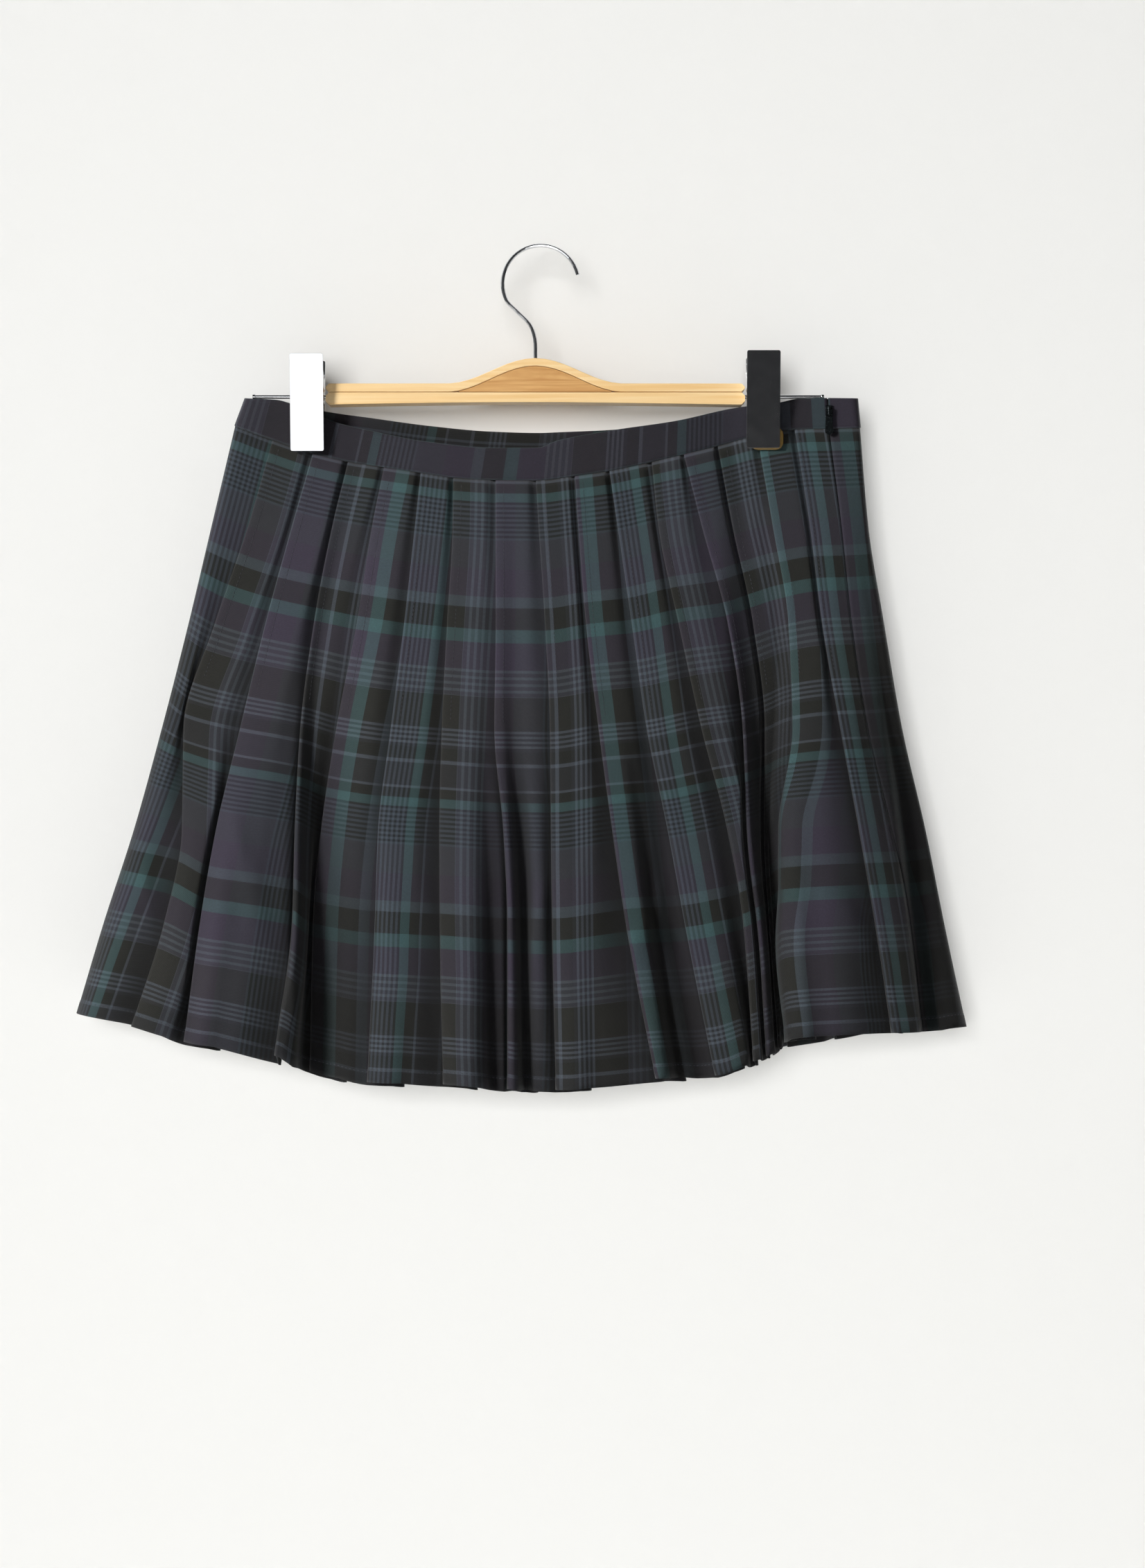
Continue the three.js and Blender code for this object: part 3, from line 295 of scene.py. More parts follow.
def pleat(edge, under, levels, next_edge, next_low, bulge):
    """One pleat's x, level and part of the cloth, from its bottom layer to the next one's."""
    low, mid, top = levels
    inner_r = min((mid - low) / 2, under * 0.3)
    outer_r = min((top - mid) / 2, under * 0.3)
    pitch = next_edge - edge
    loose = pitch - under > CROWD_FULL
    slope_from = edge + under + SLOPE_CLEAR if loose else edge + pitch * 0.45
    slope_to = max(next_edge - SLOPE_SHORT, slope_from + 0.6) if loose else edge + pitch * 0.75
    xs, levels_out, marks = [], [], []

    def put(x, level, mark):
        xs.append(x)
        levels_out.append(level)
        marks.append(mark)

    for s in np.linspace(0, 1, BOTTOM + 2)[1:-1]:
        put(mix(edge + outer_r, edge + under - inner_r, s), low, "hidden")
    for angle in np.linspace(-math.pi / 2, math.pi / 2, TURN):
        put(edge + under - inner_r + inner_r * math.cos(angle),
            (low + mid) / 2 + (mid - low) / 2 * math.sin(angle), "hidden")
    for s in np.linspace(0, 1, MIDDLE + 2)[1:-1]:
        put(mix(edge + under - inner_r, edge + outer_r, s), mid, "hidden")
    for angle in np.linspace(-math.pi / 2, math.pi / 2, EDGE):
        mark = "tip" if abs(angle) < 1e-6 else ("hidden" if angle < 0 else "seen")
        put(edge + outer_r - outer_r * math.cos(angle),
            (mid + top) / 2 + (top - mid) / 2 * math.sin(angle), mark)
    ends_at = mix(top, next_low, SLOPE_START) if loose else top
    for s in np.linspace(0, 1, TOP + 1)[1:]:
        level = mix(top, ends_at, s * s) + bulge * math.sin(math.pi * s)
        put(mix(edge + outer_r, slope_from, s), level, "seen")
    for s in np.linspace(0, 1, SLOPE + 1)[1:]:
        put(mix(slope_from, slope_to, s), mix(ends_at, next_low, float(ease(s))), "seen")
    return xs, levels_out, marks


def stack_levels(edges, unders, t, opens):
    layer = layer_at(t)
    levels = []
    for k, (rise, deep) in enumerate(opens):
        low = -layer - deep * opened(t)
        if k > 0:
            room = edges[k] - edges[k - 1] - unders[k - 1]
            crowd = float(ease((CROWD_FROM - room) / (CROWD_FROM - CROWD_FULL)))
            low = mix(low, levels[k - 1][2], crowd)
        mid = low + layer + deep * opened(t) * 0.5
        levels.append((low, mid, mid + layer + rise * opened(t)))
    return levels


def cloth_u(x, y, marks, first_u):
    """Where each point lies across the uncut cloth, in picture points of the plaid's repeat."""
    steps = np.hypot(np.diff(x), np.diff(y))
    along = np.concatenate([[0], np.cumsum(steps)])
    tips = [i for i, mark in enumerate(marks) if mark == "tip"]
    u = np.empty(len(x))
    starts = [0] + tips
    for k, start in enumerate(starts):
        start_u = first_u - PLEAT_CLOTH * k
        end = tips[k] if k < len(tips) else len(x)
        hidden = next((i for i in range(start + 1, end) if marks[i] == "hidden"), end)
        seen = range(start, hidden)
        u[list(seen)] = start_u - (along[list(seen)] - along[start]) / SCALE
        if hidden < end:
            from_u = u[hidden - 1]
            to_u = first_u - PLEAT_CLOTH * (k + 1)
            span = along[end] - along[hidden - 1]
            rest = list(range(hidden, end))
            u[rest] = from_u + (along[rest] - along[hidden - 1]) / span * (to_u - from_u)
    return u


CAP = np.radians([0, 15, 30, 45, 60, 75])
FIRST_FRONT_U = 320 + PLEAT_CLOTH * 6
FIRST_BACK_U = 230.0 + 447 * 9


# How much lower each pleat's hidden end hangs at the hem than the next fold's edge, in millimetres.
HEM_STEP = 2.6
HEM_STEPS = {"a": 3.0, "b": 6.0, "d": 3.0, "g": 3.2, "i": 4.0, "k3": 1.0}


def hem_steps(marks, names, t):
    """A drop for every point: none at a fold's edge and most of its face, all of it from where the pleat
    goes under the next fold to its inner turn, where it shows as a step."""
    weight = (t / CLOTH_LENGTH) ** 4
    tips = [i for i, mark in enumerate(marks) if mark == "tip"]
    drop = np.zeros(len(marks))
    for name, start, end in zip(names, tips, tips[1:]):
        hidden = next(i for i in range(start + 1, end) if marks[i] == "hidden")
        size = HEM_STEPS.get(name, HEM_STEP) * weight
        drop[start:hidden] = size * ease(np.linspace(-1.6, 1, hidden - start))
        drop[hidden:end] = size * ease(np.minimum(1, np.linspace(2, 0, end - hidden)))
    return drop


def front_ring(t):
    ring = Ring(t, "front")
    edges = [fold_x(name, t, ring) for name in FRONT_NAMES]
    for k in range(1, len(edges)):
        edges[k] = max(edges[k], edges[k - 1] + 2.6)
    unders = []
    for k, name in enumerate(FRONT_NAMES):
        pitch = (edges[k + 1] if k + 1 < len(edges) else 1e6) - edges[k]
        wanted = down_rows(OPENS[name][:3], t)
        unders.append(min(wanted, max(LEAST_UNDER, pitch - SLOPE_ROOM)))
    levels = stack_levels(edges, unders, t, [OPENS[name][3:5] for name in FRONT_NAMES])
    end = fold_x("zip_seam", t, ring) - SEAM_GAP / 2
    cap_x, cap_y = ring.corner("left", CAP)
    cap_y[0] = -SEAM_GAP / 2
    first_flat = ring.left + ring.round_x + 0.5
    run = np.linspace(0, 1, 9)
    xs = list(mix(first_flat, edges[0] - 1.6, run))
    lows = list(levels[0][0] * ease(run))
    marks = ["seen"] * (len(CAP) + len(run))
    for k, name in enumerate(FRONT_NAMES):
        last = k == len(FRONT_NAMES) - 1
        next_edge = end + SLOPE_SHORT if last else edges[k + 1]
        next_low = 0.0 if last else levels[k + 1][0]
        bulge = OPENS[name][5] * opened(t)
        x, level, mark = pleat(edges[k], unders[k], levels[k], next_edge, next_low, bulge)
        xs += x
        lows += level
        marks += mark
    x, y = ring.at(np.array(xs), np.array(lows))
    x = np.concatenate([cap_x, x])
    y = np.concatenate([cap_y, y])
    z = height_at("front", x, t, ring) - hem_steps(marks, FRONT_NAMES, t)
    return x, y, z, cloth_u(x, y, marks, FIRST_FRONT_U)


# The back's folds: how many, then at waist and hem the room before the first and after the last, and the
# hidden width, in millimetres. Points along the strip beside the zip.
BACK_FOLDS = 16
BACK_FIRST = (12, 24)
BACK_LAST = (27, 34)
BACK_UNDER = (17.5, 22)
STRIP_POINTS = 7


def back_ring(t):
    front = Ring(t, "front")
    back = Ring(t, "back")
    start = fold_x("zip_seam", t, front) + SEAM_GAP / 2
    turn = front.right - front.round_x
    strip_x, strip_y = front.at(np.linspace(start, turn - 0.4, STRIP_POINTS), np.zeros(STRIP_POINTS))
    right_x, right_y = front.corner("right", CAP[::-1])
    round_x, round_y = back.corner("right", CAP[1:])
    s = float(ease(t / CLOTH_LENGTH))
    first = mix(*BACK_FIRST, s)
    last = mix(*BACK_LAST, s)
    width = back.right - back.left
    pitch = (width - first - last) / (BACK_FOLDS - 1)
    under = mix(*BACK_UNDER, s)
    edges = [first + pitch * k + 2.5 * opened(t) * math.sin(k * 2.1 + 0.6) for k in range(BACK_FOLDS)]
    unders = []
    for k, edge in enumerate(edges):
        room = (edges[k + 1] if k + 1 < BACK_FOLDS else width - back.round_x) - edge - SLOPE_ROOM
        unders.append(min(under, room))
    opens = [(2.5 + math.sin(k * 1.7), 1.5 + 0.6 * math.cos(k * 2.3)) for k in range(BACK_FOLDS)]
    levels = stack_levels(edges, unders, t, opens)
    run = np.linspace(0, 1, 3)
    ws = list(mix(back.round_x + 0.3, edges[0] - 1.6, run))
    lows = list(levels[0][0] * ease(run))
    marks = ["seen"] * (STRIP_POINTS + len(CAP) * 2 - 1 + len(run))
    for k in range(BACK_FOLDS):
        ended = k == BACK_FOLDS - 1
        next_edge = width - back.round_x if ended else edges[k + 1]
        next_low = 0.0 if ended else levels[k + 1][0]
        bulge = (1.5 + math.sin(k * 1.3)) * opened(t)
        w, level, mark = pleat(edges[k], unders[k], levels[k], next_edge, next_low, bulge)
        ws += w
        lows += level
        marks += mark
    wide_x, wide_y = back.at(back.right - np.array(ws), np.array(lows))
    left_x, left_y = back.corner("left", CAP[::-1])
    left_y[-1] = SEAM_GAP / 2
    marks += ["seen"] * len(CAP)
    x = np.concatenate([strip_x, right_x, round_x, wide_x, left_x])
    y = np.concatenate([strip_y, right_y, round_y, wide_y, left_y])
    on_front = STRIP_POINTS + len(CAP)
    z = np.concatenate([height_at("front", x[:on_front], t, front), height_at("back", x[on_front:], t, back)])
    return x, y, z, cloth_u(x, y, marks, FIRST_BACK_U)


def shell(name, rows, uvs, half, inner_uvs=None):
    """A closed cloth shell on both sides of a grid of points, with its plaid coordinates as a UV map."""
    points = np.array(rows) * MM
    n_rows, n_cols = points.shape[:2]
    down = np.gradient(points, axis=0)
    across = np.gradient(points, axis=1)
    normals = np.cross(across, down)
    normals /= np.maximum(np.linalg.norm(normals, axis=2, keepdims=True), 1e-12)
    half = np.asarray(half, float).reshape(n_rows, 1, 1) * MM
    count = n_rows * n_cols
    outer, inner = points - normals * half, points + normals * half
    vertices = np.concatenate([outer.reshape(-1, 3), inner.reshape(-1, 3)])
    outer_uv = np.array(uvs).reshape(-1, 2)
    inner_uv = outer_uv if inner_uvs is None else np.array(inner_uvs).reshape(-1, 2)
    uv = np.concatenate([outer_uv, inner_uv])

    def grid(offset, flip):
        a = (np.arange(n_rows - 1)[:, None] * n_cols + np.arange(n_cols - 1)[None, :] + offset).reshape(-1)
        quad = np.stack([a, a + n_cols, a + n_cols + 1, a + 1], axis=1)
        return quad[:, ::-1] if flip else quad

    top = np.arange(n_cols - 1)
    bottom = top + (n_rows - 1) * n_cols
    side = np.arange(n_rows - 1) * n_cols
    end = side + n_cols - 1
    rims = [
        np.stack([top, top + 1, top + 1 + count, top + count], axis=1),
        np.stack([bottom + 1, bottom, bottom + count, bottom + 1 + count], axis=1),
        np.stack([side + n_cols, side, side + count, side + n_cols + count], axis=1),
        np.stack([end, end + n_cols, end + n_cols + count, end + count], axis=1),
    ]
    faces = np.concatenate([grid(0, False), grid(count, True), *rims])
    mesh = bpy.data.meshes.new(name)
    mesh.from_pydata(vertices.tolist(), [], faces.tolist())
    mesh.polygons.foreach_set("use_smooth", np.ones(len(faces), bool))
    layer = mesh.uv_layers.new(name="cloth")
    loops = np.empty(len(mesh.loops), np.int32)
    mesh.loops.foreach_get("vertex_index", loops)
    layer.data.foreach_set("uv", uv[loops].reshape(-1))
    mesh.update()
    obj = bpy.data.objects.new(name, mesh)
    bpy.context.scene.collection.objects.link(obj)
    return obj


def face_outwards(obj):
    work = bmesh.new()
    work.from_mesh(obj.data)
    if work.calc_volume(signed=True) < 0:
        bmesh.ops.reverse_faces(work, faces=work.faces)
        work.to_mesh(obj.data)
    work.free()


downs = np.concatenate([np.linspace(0, 380, 73), [385, 389, CLOTH_LENGTH - HEM_TURN, 392.6, 396, 400]])
V_AT_SEAM = 428.0
half_at = [CLOTH_THICK / 2 + (0.22 if t > CLOTH_LENGTH - HEM_TURN + 0.1 else 0) for t in downs]


# Painted shade in the folds: the cloth's base colour is darkened where the folds beside a point close off
# its sky, like baked ambient occlusion. Values: how far sideways, in millimetres, a point looks for cloth
# that stands over it, how much sky counts as closed and as open, and how dark the painted shade goes where it
# is closed. The stitched part is pressed flat, so only a share of that painted shade shows there.
SIGHT = (0.5, 45.0)
SKY_CLOSED, SKY_OPEN = 0.37, 0.95
DEEPEST_PAINTED_SHADE = 0.18
PRESSED_SHARE, FREE_FROM = 0.4, (60.0, 230.0)


def fold_painted_shades(rows, sign):
    """Painted shade at each point of a panel: how dark its colour is made, from how much sky the folds beside
    it leave open.
    """
    painted_shades = []
    for row in rows:
        x, out = row[:, 0], sign * row[:, 1]
        out = out - np.polyval(np.polyfit(x, out, 4), x)
        away = x[None, :] - x[:, None]
        near = (np.abs(away) > SIGHT[0]) & (np.abs(away) < SIGHT[1])
        rise = np.where(near, (out[None, :] - out[:, None]) / np.maximum(np.abs(away), SIGHT[0]), 0.0)
        closed = 0.0
        for beside in (away < 0, away > 0):
            slope = np.max(np.where(beside, rise, 0.0), axis=1)
            closed = closed + slope / np.hypot(1, slope) / 2
        painted_shades.append(mix(DEEPEST_PAINTED_SHADE, 1.0, ease((1 - closed - SKY_CLOSED) / (SKY_OPEN - SKY_CLOSED))))
    free = ease((downs - FREE_FROM[0]) / (FREE_FROM[1] - FREE_FROM[0]))[:, None]
    painted_shades = 1 - (1 - np.array(painted_shades)) * mix(PRESSED_SHARE, 1.0, free)
    above = np.concatenate([painted_shades[:1], painted_shades[:-1]])
    below = np.concatenate([painted_shades[1:], painted_shades[-1:]])
    return (above + 2 * painted_shades + below) / 4


def panel(name, ring_of):
    rows, uvs = [], []
    for t in downs:
        x, y, z, u = ring_of(float(t))
        rows.append(np.stack([x, y, z], axis=1))
        uvs.append(np.stack([u, np.full(len(u), V_AT_SEAM + t / SCALE)], axis=1))
    obj = shell(name, rows, uvs, half_at)
    # Painted shade: the darkening from the folds is stored on every point for the material to multiply into
    # the cloth's colour.
    painted_shades = fold_painted_shades(rows, -1.0 if name == "front_cloth" else 1.0).reshape(-1)
    layer = obj.data.attributes.new("fold_painted_shade", "FLOAT", "POINT")
    layer.data.foreach_set("value", np.concatenate([painted_shades, painted_shades]))
    face_outwards(obj)
    return obj, rows


front_cloth, front_rows = panel("front_cloth", front_ring)
back_cloth, back_rows = panel("back_cloth", back_ring)


def srgb(red, green, blue):
    def one(v):
        v /= 255
        return v / 12.92 if v <= 0.04045 else ((v + 0.055) / 1.055) ** 2.4
    return (one(red), one(green), one(blue), 1.0)


# The plaid's repeat, 203 mm both ways. Columns: where a stripe starts in picture points, its yarn.
REPEAT = 447.0
YARNS = {
    "teal": srgb(49, 73, 75),
    "fine_ground": srgb(52, 60, 69),
    "grey": srgb(45, 46, 54),
    "purple": srgb(46, 41, 54),
    "pale": srgb(57, 66, 73),
    "olive": srgb(21, 22, 19),
    "brown": srgb(27, 27, 24),
    "dark": srgb(30, 31, 34),
    "light": srgb(66, 72, 80),
    "ink": srgb(22, 24, 27),
}
STRIPES = [
    (0, "teal"), (13, "fine_ground"), (68, "grey"), (109, "purple"), (150, "pale"), (165, "olive"),
    (197, "teal"), (216, "purple"), (256, "grey"), (295, "brown"), (344, "dark"), (372, "olive"),
    (391, "light"), (395, "dark"), (428, "light"), (432, "olive"),
]
# Groups of hair stripes: start, end, spacing, share of each spacing that is yarn, yarn.
HAIR_STRIPES = [
    (13, 68, 6.9, 0.5, "ink"),
    (256, 295, 9.6, 0.42, "light"),
    (344, 372, 7.0, 0.5, "light"),
]


def new_group(name, inputs, outputs):
    group = bpy.data.node_groups.new(name, "ShaderNodeTree")
    for socket, kind in inputs:
        group.interface.new_socket(socket, in_out="INPUT", socket_type=kind)
    for socket, kind in outputs:
        group.interface.new_socket(socket, in_out="OUTPUT", socket_type=kind)
    start = group.nodes.new("NodeGroupInput")
    end = group.nodes.new("NodeGroupOutput")
    return group, start, end


def math_node(tree, operation, a, b=None, clamp=False):
    node = tree.nodes.new("ShaderNodeMath")
    node.operation = operation
    node.use_clamp = clamp
    for socket, value in zip(node.inputs, (a, b)):
        if value is None:
            continue
        if isinstance(value, (int, float)):
            socket.default_value = value
        else:
            tree.links.new(value, socket)
    return node.outputs[0]


def mix_colour(tree, factor, a, b, blend="MIX"):
    node = tree.nodes.new("ShaderNodeMix")
    node.data_type = "RGBA"
    node.blend_type = blend
    for socket, value in ((node.inputs[0], factor), (node.inputs[6], a), (node.inputs[7], b)):
        if isinstance(value, (int, float, tuple)):
            socket.default_value = value
        else:
            tree.links.new(value, socket)
    return node.outputs[2]


def make_stripes_group():
    """Yarn colour along one direction of the plaid, from the distance along it."""
    group, start, end = new_group(
        "plaid_stripes", [("Along", "NodeSocketFloat")], [("Colour", "NodeSocketColor")])
    place = math_node(group, "FLOORED_MODULO", start.outputs["Along"], REPEAT)
    ramp = group.nodes.new("ShaderNodeValToRGB")
    ramp.color_ramp.interpolation = "CONSTANT"
    stops = ramp.color_ramp.elements
    stops[0].position = 0.0
    stops[0].color = YARNS[STRIPES[0][1]]
    stops.remove(stops[1])
    for at, yarn in STRIPES[1:]:
        stops.new(at / REPEAT).color = YARNS[yarn]
    group.links.new(math_node(group, "DIVIDE", place, REPEAT), ramp.inputs[0])
    colour = ramp.outputs["Color"]
    for low, high, spacing, share, yarn in HAIR_STRIPES:
        inside = math_node(group, "MULTIPLY", math_node(group, "GREATER_THAN", place, low),
                           math_node(group, "LESS_THAN", place, high))
        past = math_node(group, "SUBTRACT", place, low)
        phase = math_node(group, "FRACT", math_node(group, "DIVIDE", past, spacing))
        on = math_node(group, "LESS_THAN", phase, share)
        colour = mix_colour(group, math_node(group, "MULTIPLY", inside, on), colour, YARNS[yarn])
    group.links.new(colour, end.inputs["Colour"])
    return group


def make_plaid_group(stripes):
    """Warp and weft woven 2/2: the two yarn colours, the diagonal of the twill, and its height."""
    group, start, end = new_group(
        "plaid_twill", [("Cloth", "NodeSocketVector")],
        [("Colour", "NodeSocketColor"), ("Height", "NodeSocketFloat")])
    parts = group.nodes.new("ShaderNodeSeparateXYZ")
    group.links.new(start.outputs["Cloth"], parts.inputs[0])
    yarns = []
    for axis in ("X", "Y"):
        one = group.nodes.new("ShaderNodeGroup")
        one.node_tree = stripes
        group.links.new(parts.outputs[axis], one.inputs["Along"])
        yarns.append(one.outputs["Colour"])
    twill_pitch = 2.2
    diagonal = math_node(group, "MULTIPLY",
                         math_node(group, "ADD", parts.outputs["X"], parts.outputs["Y"]),
                         2 * math.pi / twill_pitch)
    wave = math_node(group, "SINE", diagonal)
    over = math_node(group, "ADD", math_node(group, "MULTIPLY", wave, 0.28), 0.5)
    colour = mix_colour(group, over, yarns[0], yarns[1])
    slub = group.nodes.new("ShaderNodeTexNoise")
    slub.inputs["Scale"].default_value = 0.35
    slub.inputs["Detail"].default_value = 3.0
    group.links.new(start.outputs["Cloth"], slub.inputs["Vector"])
    shade = math_node(group, "ADD", math_node(group, "MULTIPLY", slub.outputs["Fac"], 0.5), 0.75)
    grey = group.nodes.new("ShaderNodeCombineColor")
    for channel in grey.inputs:
        group.links.new(shade, channel)
    colour = mix_colour(group, 1.0, colour, grey.outputs[0], "MULTIPLY")
    group.links.new(colour, end.inputs["Colour"])
    group.links.new(math_node(group, "ADD", wave, math_node(group, "MULTIPLY", slub.outputs["Fac"], 0.6)),
                    end.inputs["Height"])
    return group


plaid_stripes = make_stripes_group()
plaid_twill = make_plaid_group(plaid_stripes)


def new_material(name):
    material = bpy.data.materials.new(name)
    material.use_nodes = True
    tree = material.node_tree
    return material, tree, tree.nodes["Principled BSDF"]


def own_noise(tree, scale, detail=2.0):
    """Noise that stays with the piece, read from its own coordinates."""
    place = tree.nodes.new("ShaderNodeTexCoord")
    noise = tree.nodes.new("ShaderNodeTexNoise")
    noise.inputs["Scale"].default_value = scale
    noise.inputs["Detail"].default_value = detail
    tree.links.new(place.outputs["Object"], noise.inputs["Vector"])
    return noise.outputs["Fac"]


def dress(piece, material, body):
    """Gives a piece its material and the body that it rides on."""
    piece.data.materials.append(material)
    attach(piece, body)


def plaid_material(name, shade, folded):
    material, tree, shader = new_material(name)
    uv = tree.nodes.new("ShaderNodeUVMap")
    uv.uv_map = "cloth"
    weave = tree.nodes.new("ShaderNodeGroup")
    weave.node_tree = plaid_twill
    tree.links.new(uv.outputs["UV"], weave.inputs["Cloth"])
    toned = mix_colour(tree, 1.0, weave.outputs["Colour"], (shade, shade, shade, 1.0), "MULTIPLY")
    # Painted shade: with this on, the base colour is multiplied by the painted fold shade stored on the mesh,
    # so deep folds are painted dark.
    if folded:
        fold_painted_shade = tree.nodes.new("ShaderNodeAttribute")
        fold_painted_shade.attribute_name = "fold_painted_shade"
        toned = mix_colour(tree, 1.0, toned, fold_painted_shade.outputs["Color"], "MULTIPLY")
    tree.links.new(toned, shader.inputs["Base Color"])
    bump = tree.nodes.new("ShaderNodeBump")
    bump.inputs["Strength"].default_value = 0.3
    bump.inputs["Distance"].default_value = 0.0002
    tree.links.new(weave.outputs["Height"], bump.inputs["Height"])
    soft = tree.nodes.new("ShaderNodeBump")
    soft.inputs["Strength"].default_value = 0.35
    soft.inputs["Distance"].default_value = 0.0016
    tree.links.new(own_noise(tree, 26.0, 4.0), soft.inputs["Height"])
    tree.links.new(soft.outputs["Normal"], bump.inputs["Normal"])
    tree.links.new(bump.outputs["Normal"], shader.inputs["Normal"])
    shader.inputs["Roughness"].default_value = 0.86
    shader.inputs["Specular IOR Level"].default_value = 0.28
    shader.inputs["Sheen Weight"].default_value = 0.12
    shader.inputs["Sheen Roughness"].default_value = 0.5
    return material


# The skirt's plaid carries the painted fold shade; the waistband's plaid does not.
skirt_plaid = plaid_material("skirt_plaid", 1.12, True)
SKIRT = "skirt_and_hanger"
for cloth, node, width in ((front_cloth, "front_panel", 1.30), (back_cloth, "back_panel", 1.36)):
    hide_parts(node)
    dress(cloth, skirt_plaid, SKIRT)

# Waistband: the same twill turned so that its broad stripes run along it, faced, and 21 mm high.
# It is sewn to the pleats at the waist seam and ends each side of the zip.
band_plaid = plaid_material("waistband_plaid", 0.68, False)
BAND_THICK = 1.8
BAND_LIFT = 0.5
ZIP_SLIT = 1.8
BAND_V_TOP = 216.0
BAND_V_LOW = 258.0
FACING_V_TOP = 330.0
FACING_V_LOW = 372.0
BAND_U_ORIGIN = 535.0
width_at_seam = flat_x(FOLDS[-1][1]) - flat_x(FOLDS[0][1])
zip_share = (flat_x(BY_NAME["zip_seam"][1]) - flat_x(FOLDS[0][1])) / width_at_seam


def band_height(side, rise, x_share):
    ring = Ring(0, side)
    x = mix(ring.left, ring.right, np.asarray(x_share, float))
    y = ring.sign * ring.depth(x)
    low = height_at(side, x, 0, ring) + BAND_LIFT - 0.4
    column = 1 if side == "front" else 2
    high = z_of(curve_at([row[0] for row in WAIST_LINE], [row[column] for row in WAIST_LINE], x_share), y)
    return mix(low, high, rise)


def band_run(side, rise, shares):
    ring = Ring(0, side, rise)
    x, y = ring.at(mix(ring.left, ring.right, shares), np.zeros(len(shares)))
    return np.stack([x, y, band_height(side, rise, shares)], axis=1)


def band_turn(side, end, rise, angles):
    ring = Ring(0, side, rise)
    x, y = ring.corner(end, angles)
    shares = np.clip((x - ring.left) / (ring.right - ring.left), 0, 1)
    return np.stack([x, y, band_height(side, rise, shares)], axis=1)


cap_share = (SIDE_ROUND[0] + 0.5) / width_at_seam
slit_share = ZIP_SLIT / 2 / width_at_seam
turn_angles = np.radians([0, 12, 25, 38, 52, 66])
band_rises = np.concatenate([[1.0], np.linspace(0.985, 0.015, 11), [0.0]])
band_half = [0.55] + [BAND_THICK / 2] * 11 + [0.6]


def front_band_row(rise):
    turn = band_turn("front", "left", rise, turn_angles)
    turn[0, 1] = -0.25
    shares = np.linspace(cap_share, zip_share - slit_share * 0.35, 150)
    return np.concatenate([turn, band_run("front", rise, shares)])


def back_band_row(rise):
    strip = band_run("front", rise, np.linspace(zip_share + slit_share * 0.35, 1 - cap_share, 16))
    right = band_turn("front", "right", rise, turn_angles[::-1])
    right_back = band_turn("back", "right", rise, turn_angles[1:])
    wide = band_run("back", rise, np.linspace(1 - cap_share, cap_share, 160))
    left = band_turn("back", "left", rise, turn_angles[::-1])
    left[-1, 1] = 0.25
    return np.concatenate([strip, right, right_back, wide, left])


def band(name, row_of, u_sign, u_start):
    rows = [row_of(float(rise)) for rise in band_rises]
    steps = np.hypot(np.diff(rows[-1][:, 0]), np.diff(rows[-1][:, 1]))
    u = u_start + u_sign * np.concatenate([[0], np.cumsum(steps)]) / SCALE
    faces, facings = [], []
    for rise in band_rises:
        faces.append(np.stack([u, np.full(len(u), mix(BAND_V_LOW, BAND_V_TOP, float(rise)))], axis=1))
        facings.append(np.stack([u, np.full(len(u), mix(FACING_V_LOW, FACING_V_TOP, float(rise)))], axis=1))
    obj = shell(name, rows, faces, band_half, facings)
    face_outwards(obj)
    return obj


band_front = band("band_front", front_band_row, 1.0, FOLDS[0][1] - BAND_U_ORIGIN + REPEAT)
band_back = band("band_back", back_band_row, 1.0, BY_NAME["zip_seam"][1] - BAND_U_ORIGIN)
for cloth, node, width in ((band_front, "waistband_front", 0.395), (band_back, "waistband_back", 0.44)):
    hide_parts(node)
    dress(cloth, band_plaid, SKIRT)

# Stitching: dark polyester thread. One row holds each pleat's edge down over the hips, one runs round
# the hem above its turned edge, and each stitch is a short bead half sunk in the cloth.
THREAD = 0.00022
STITCH_LONG = 0.0021
STITCH_PITCH = 0.0027


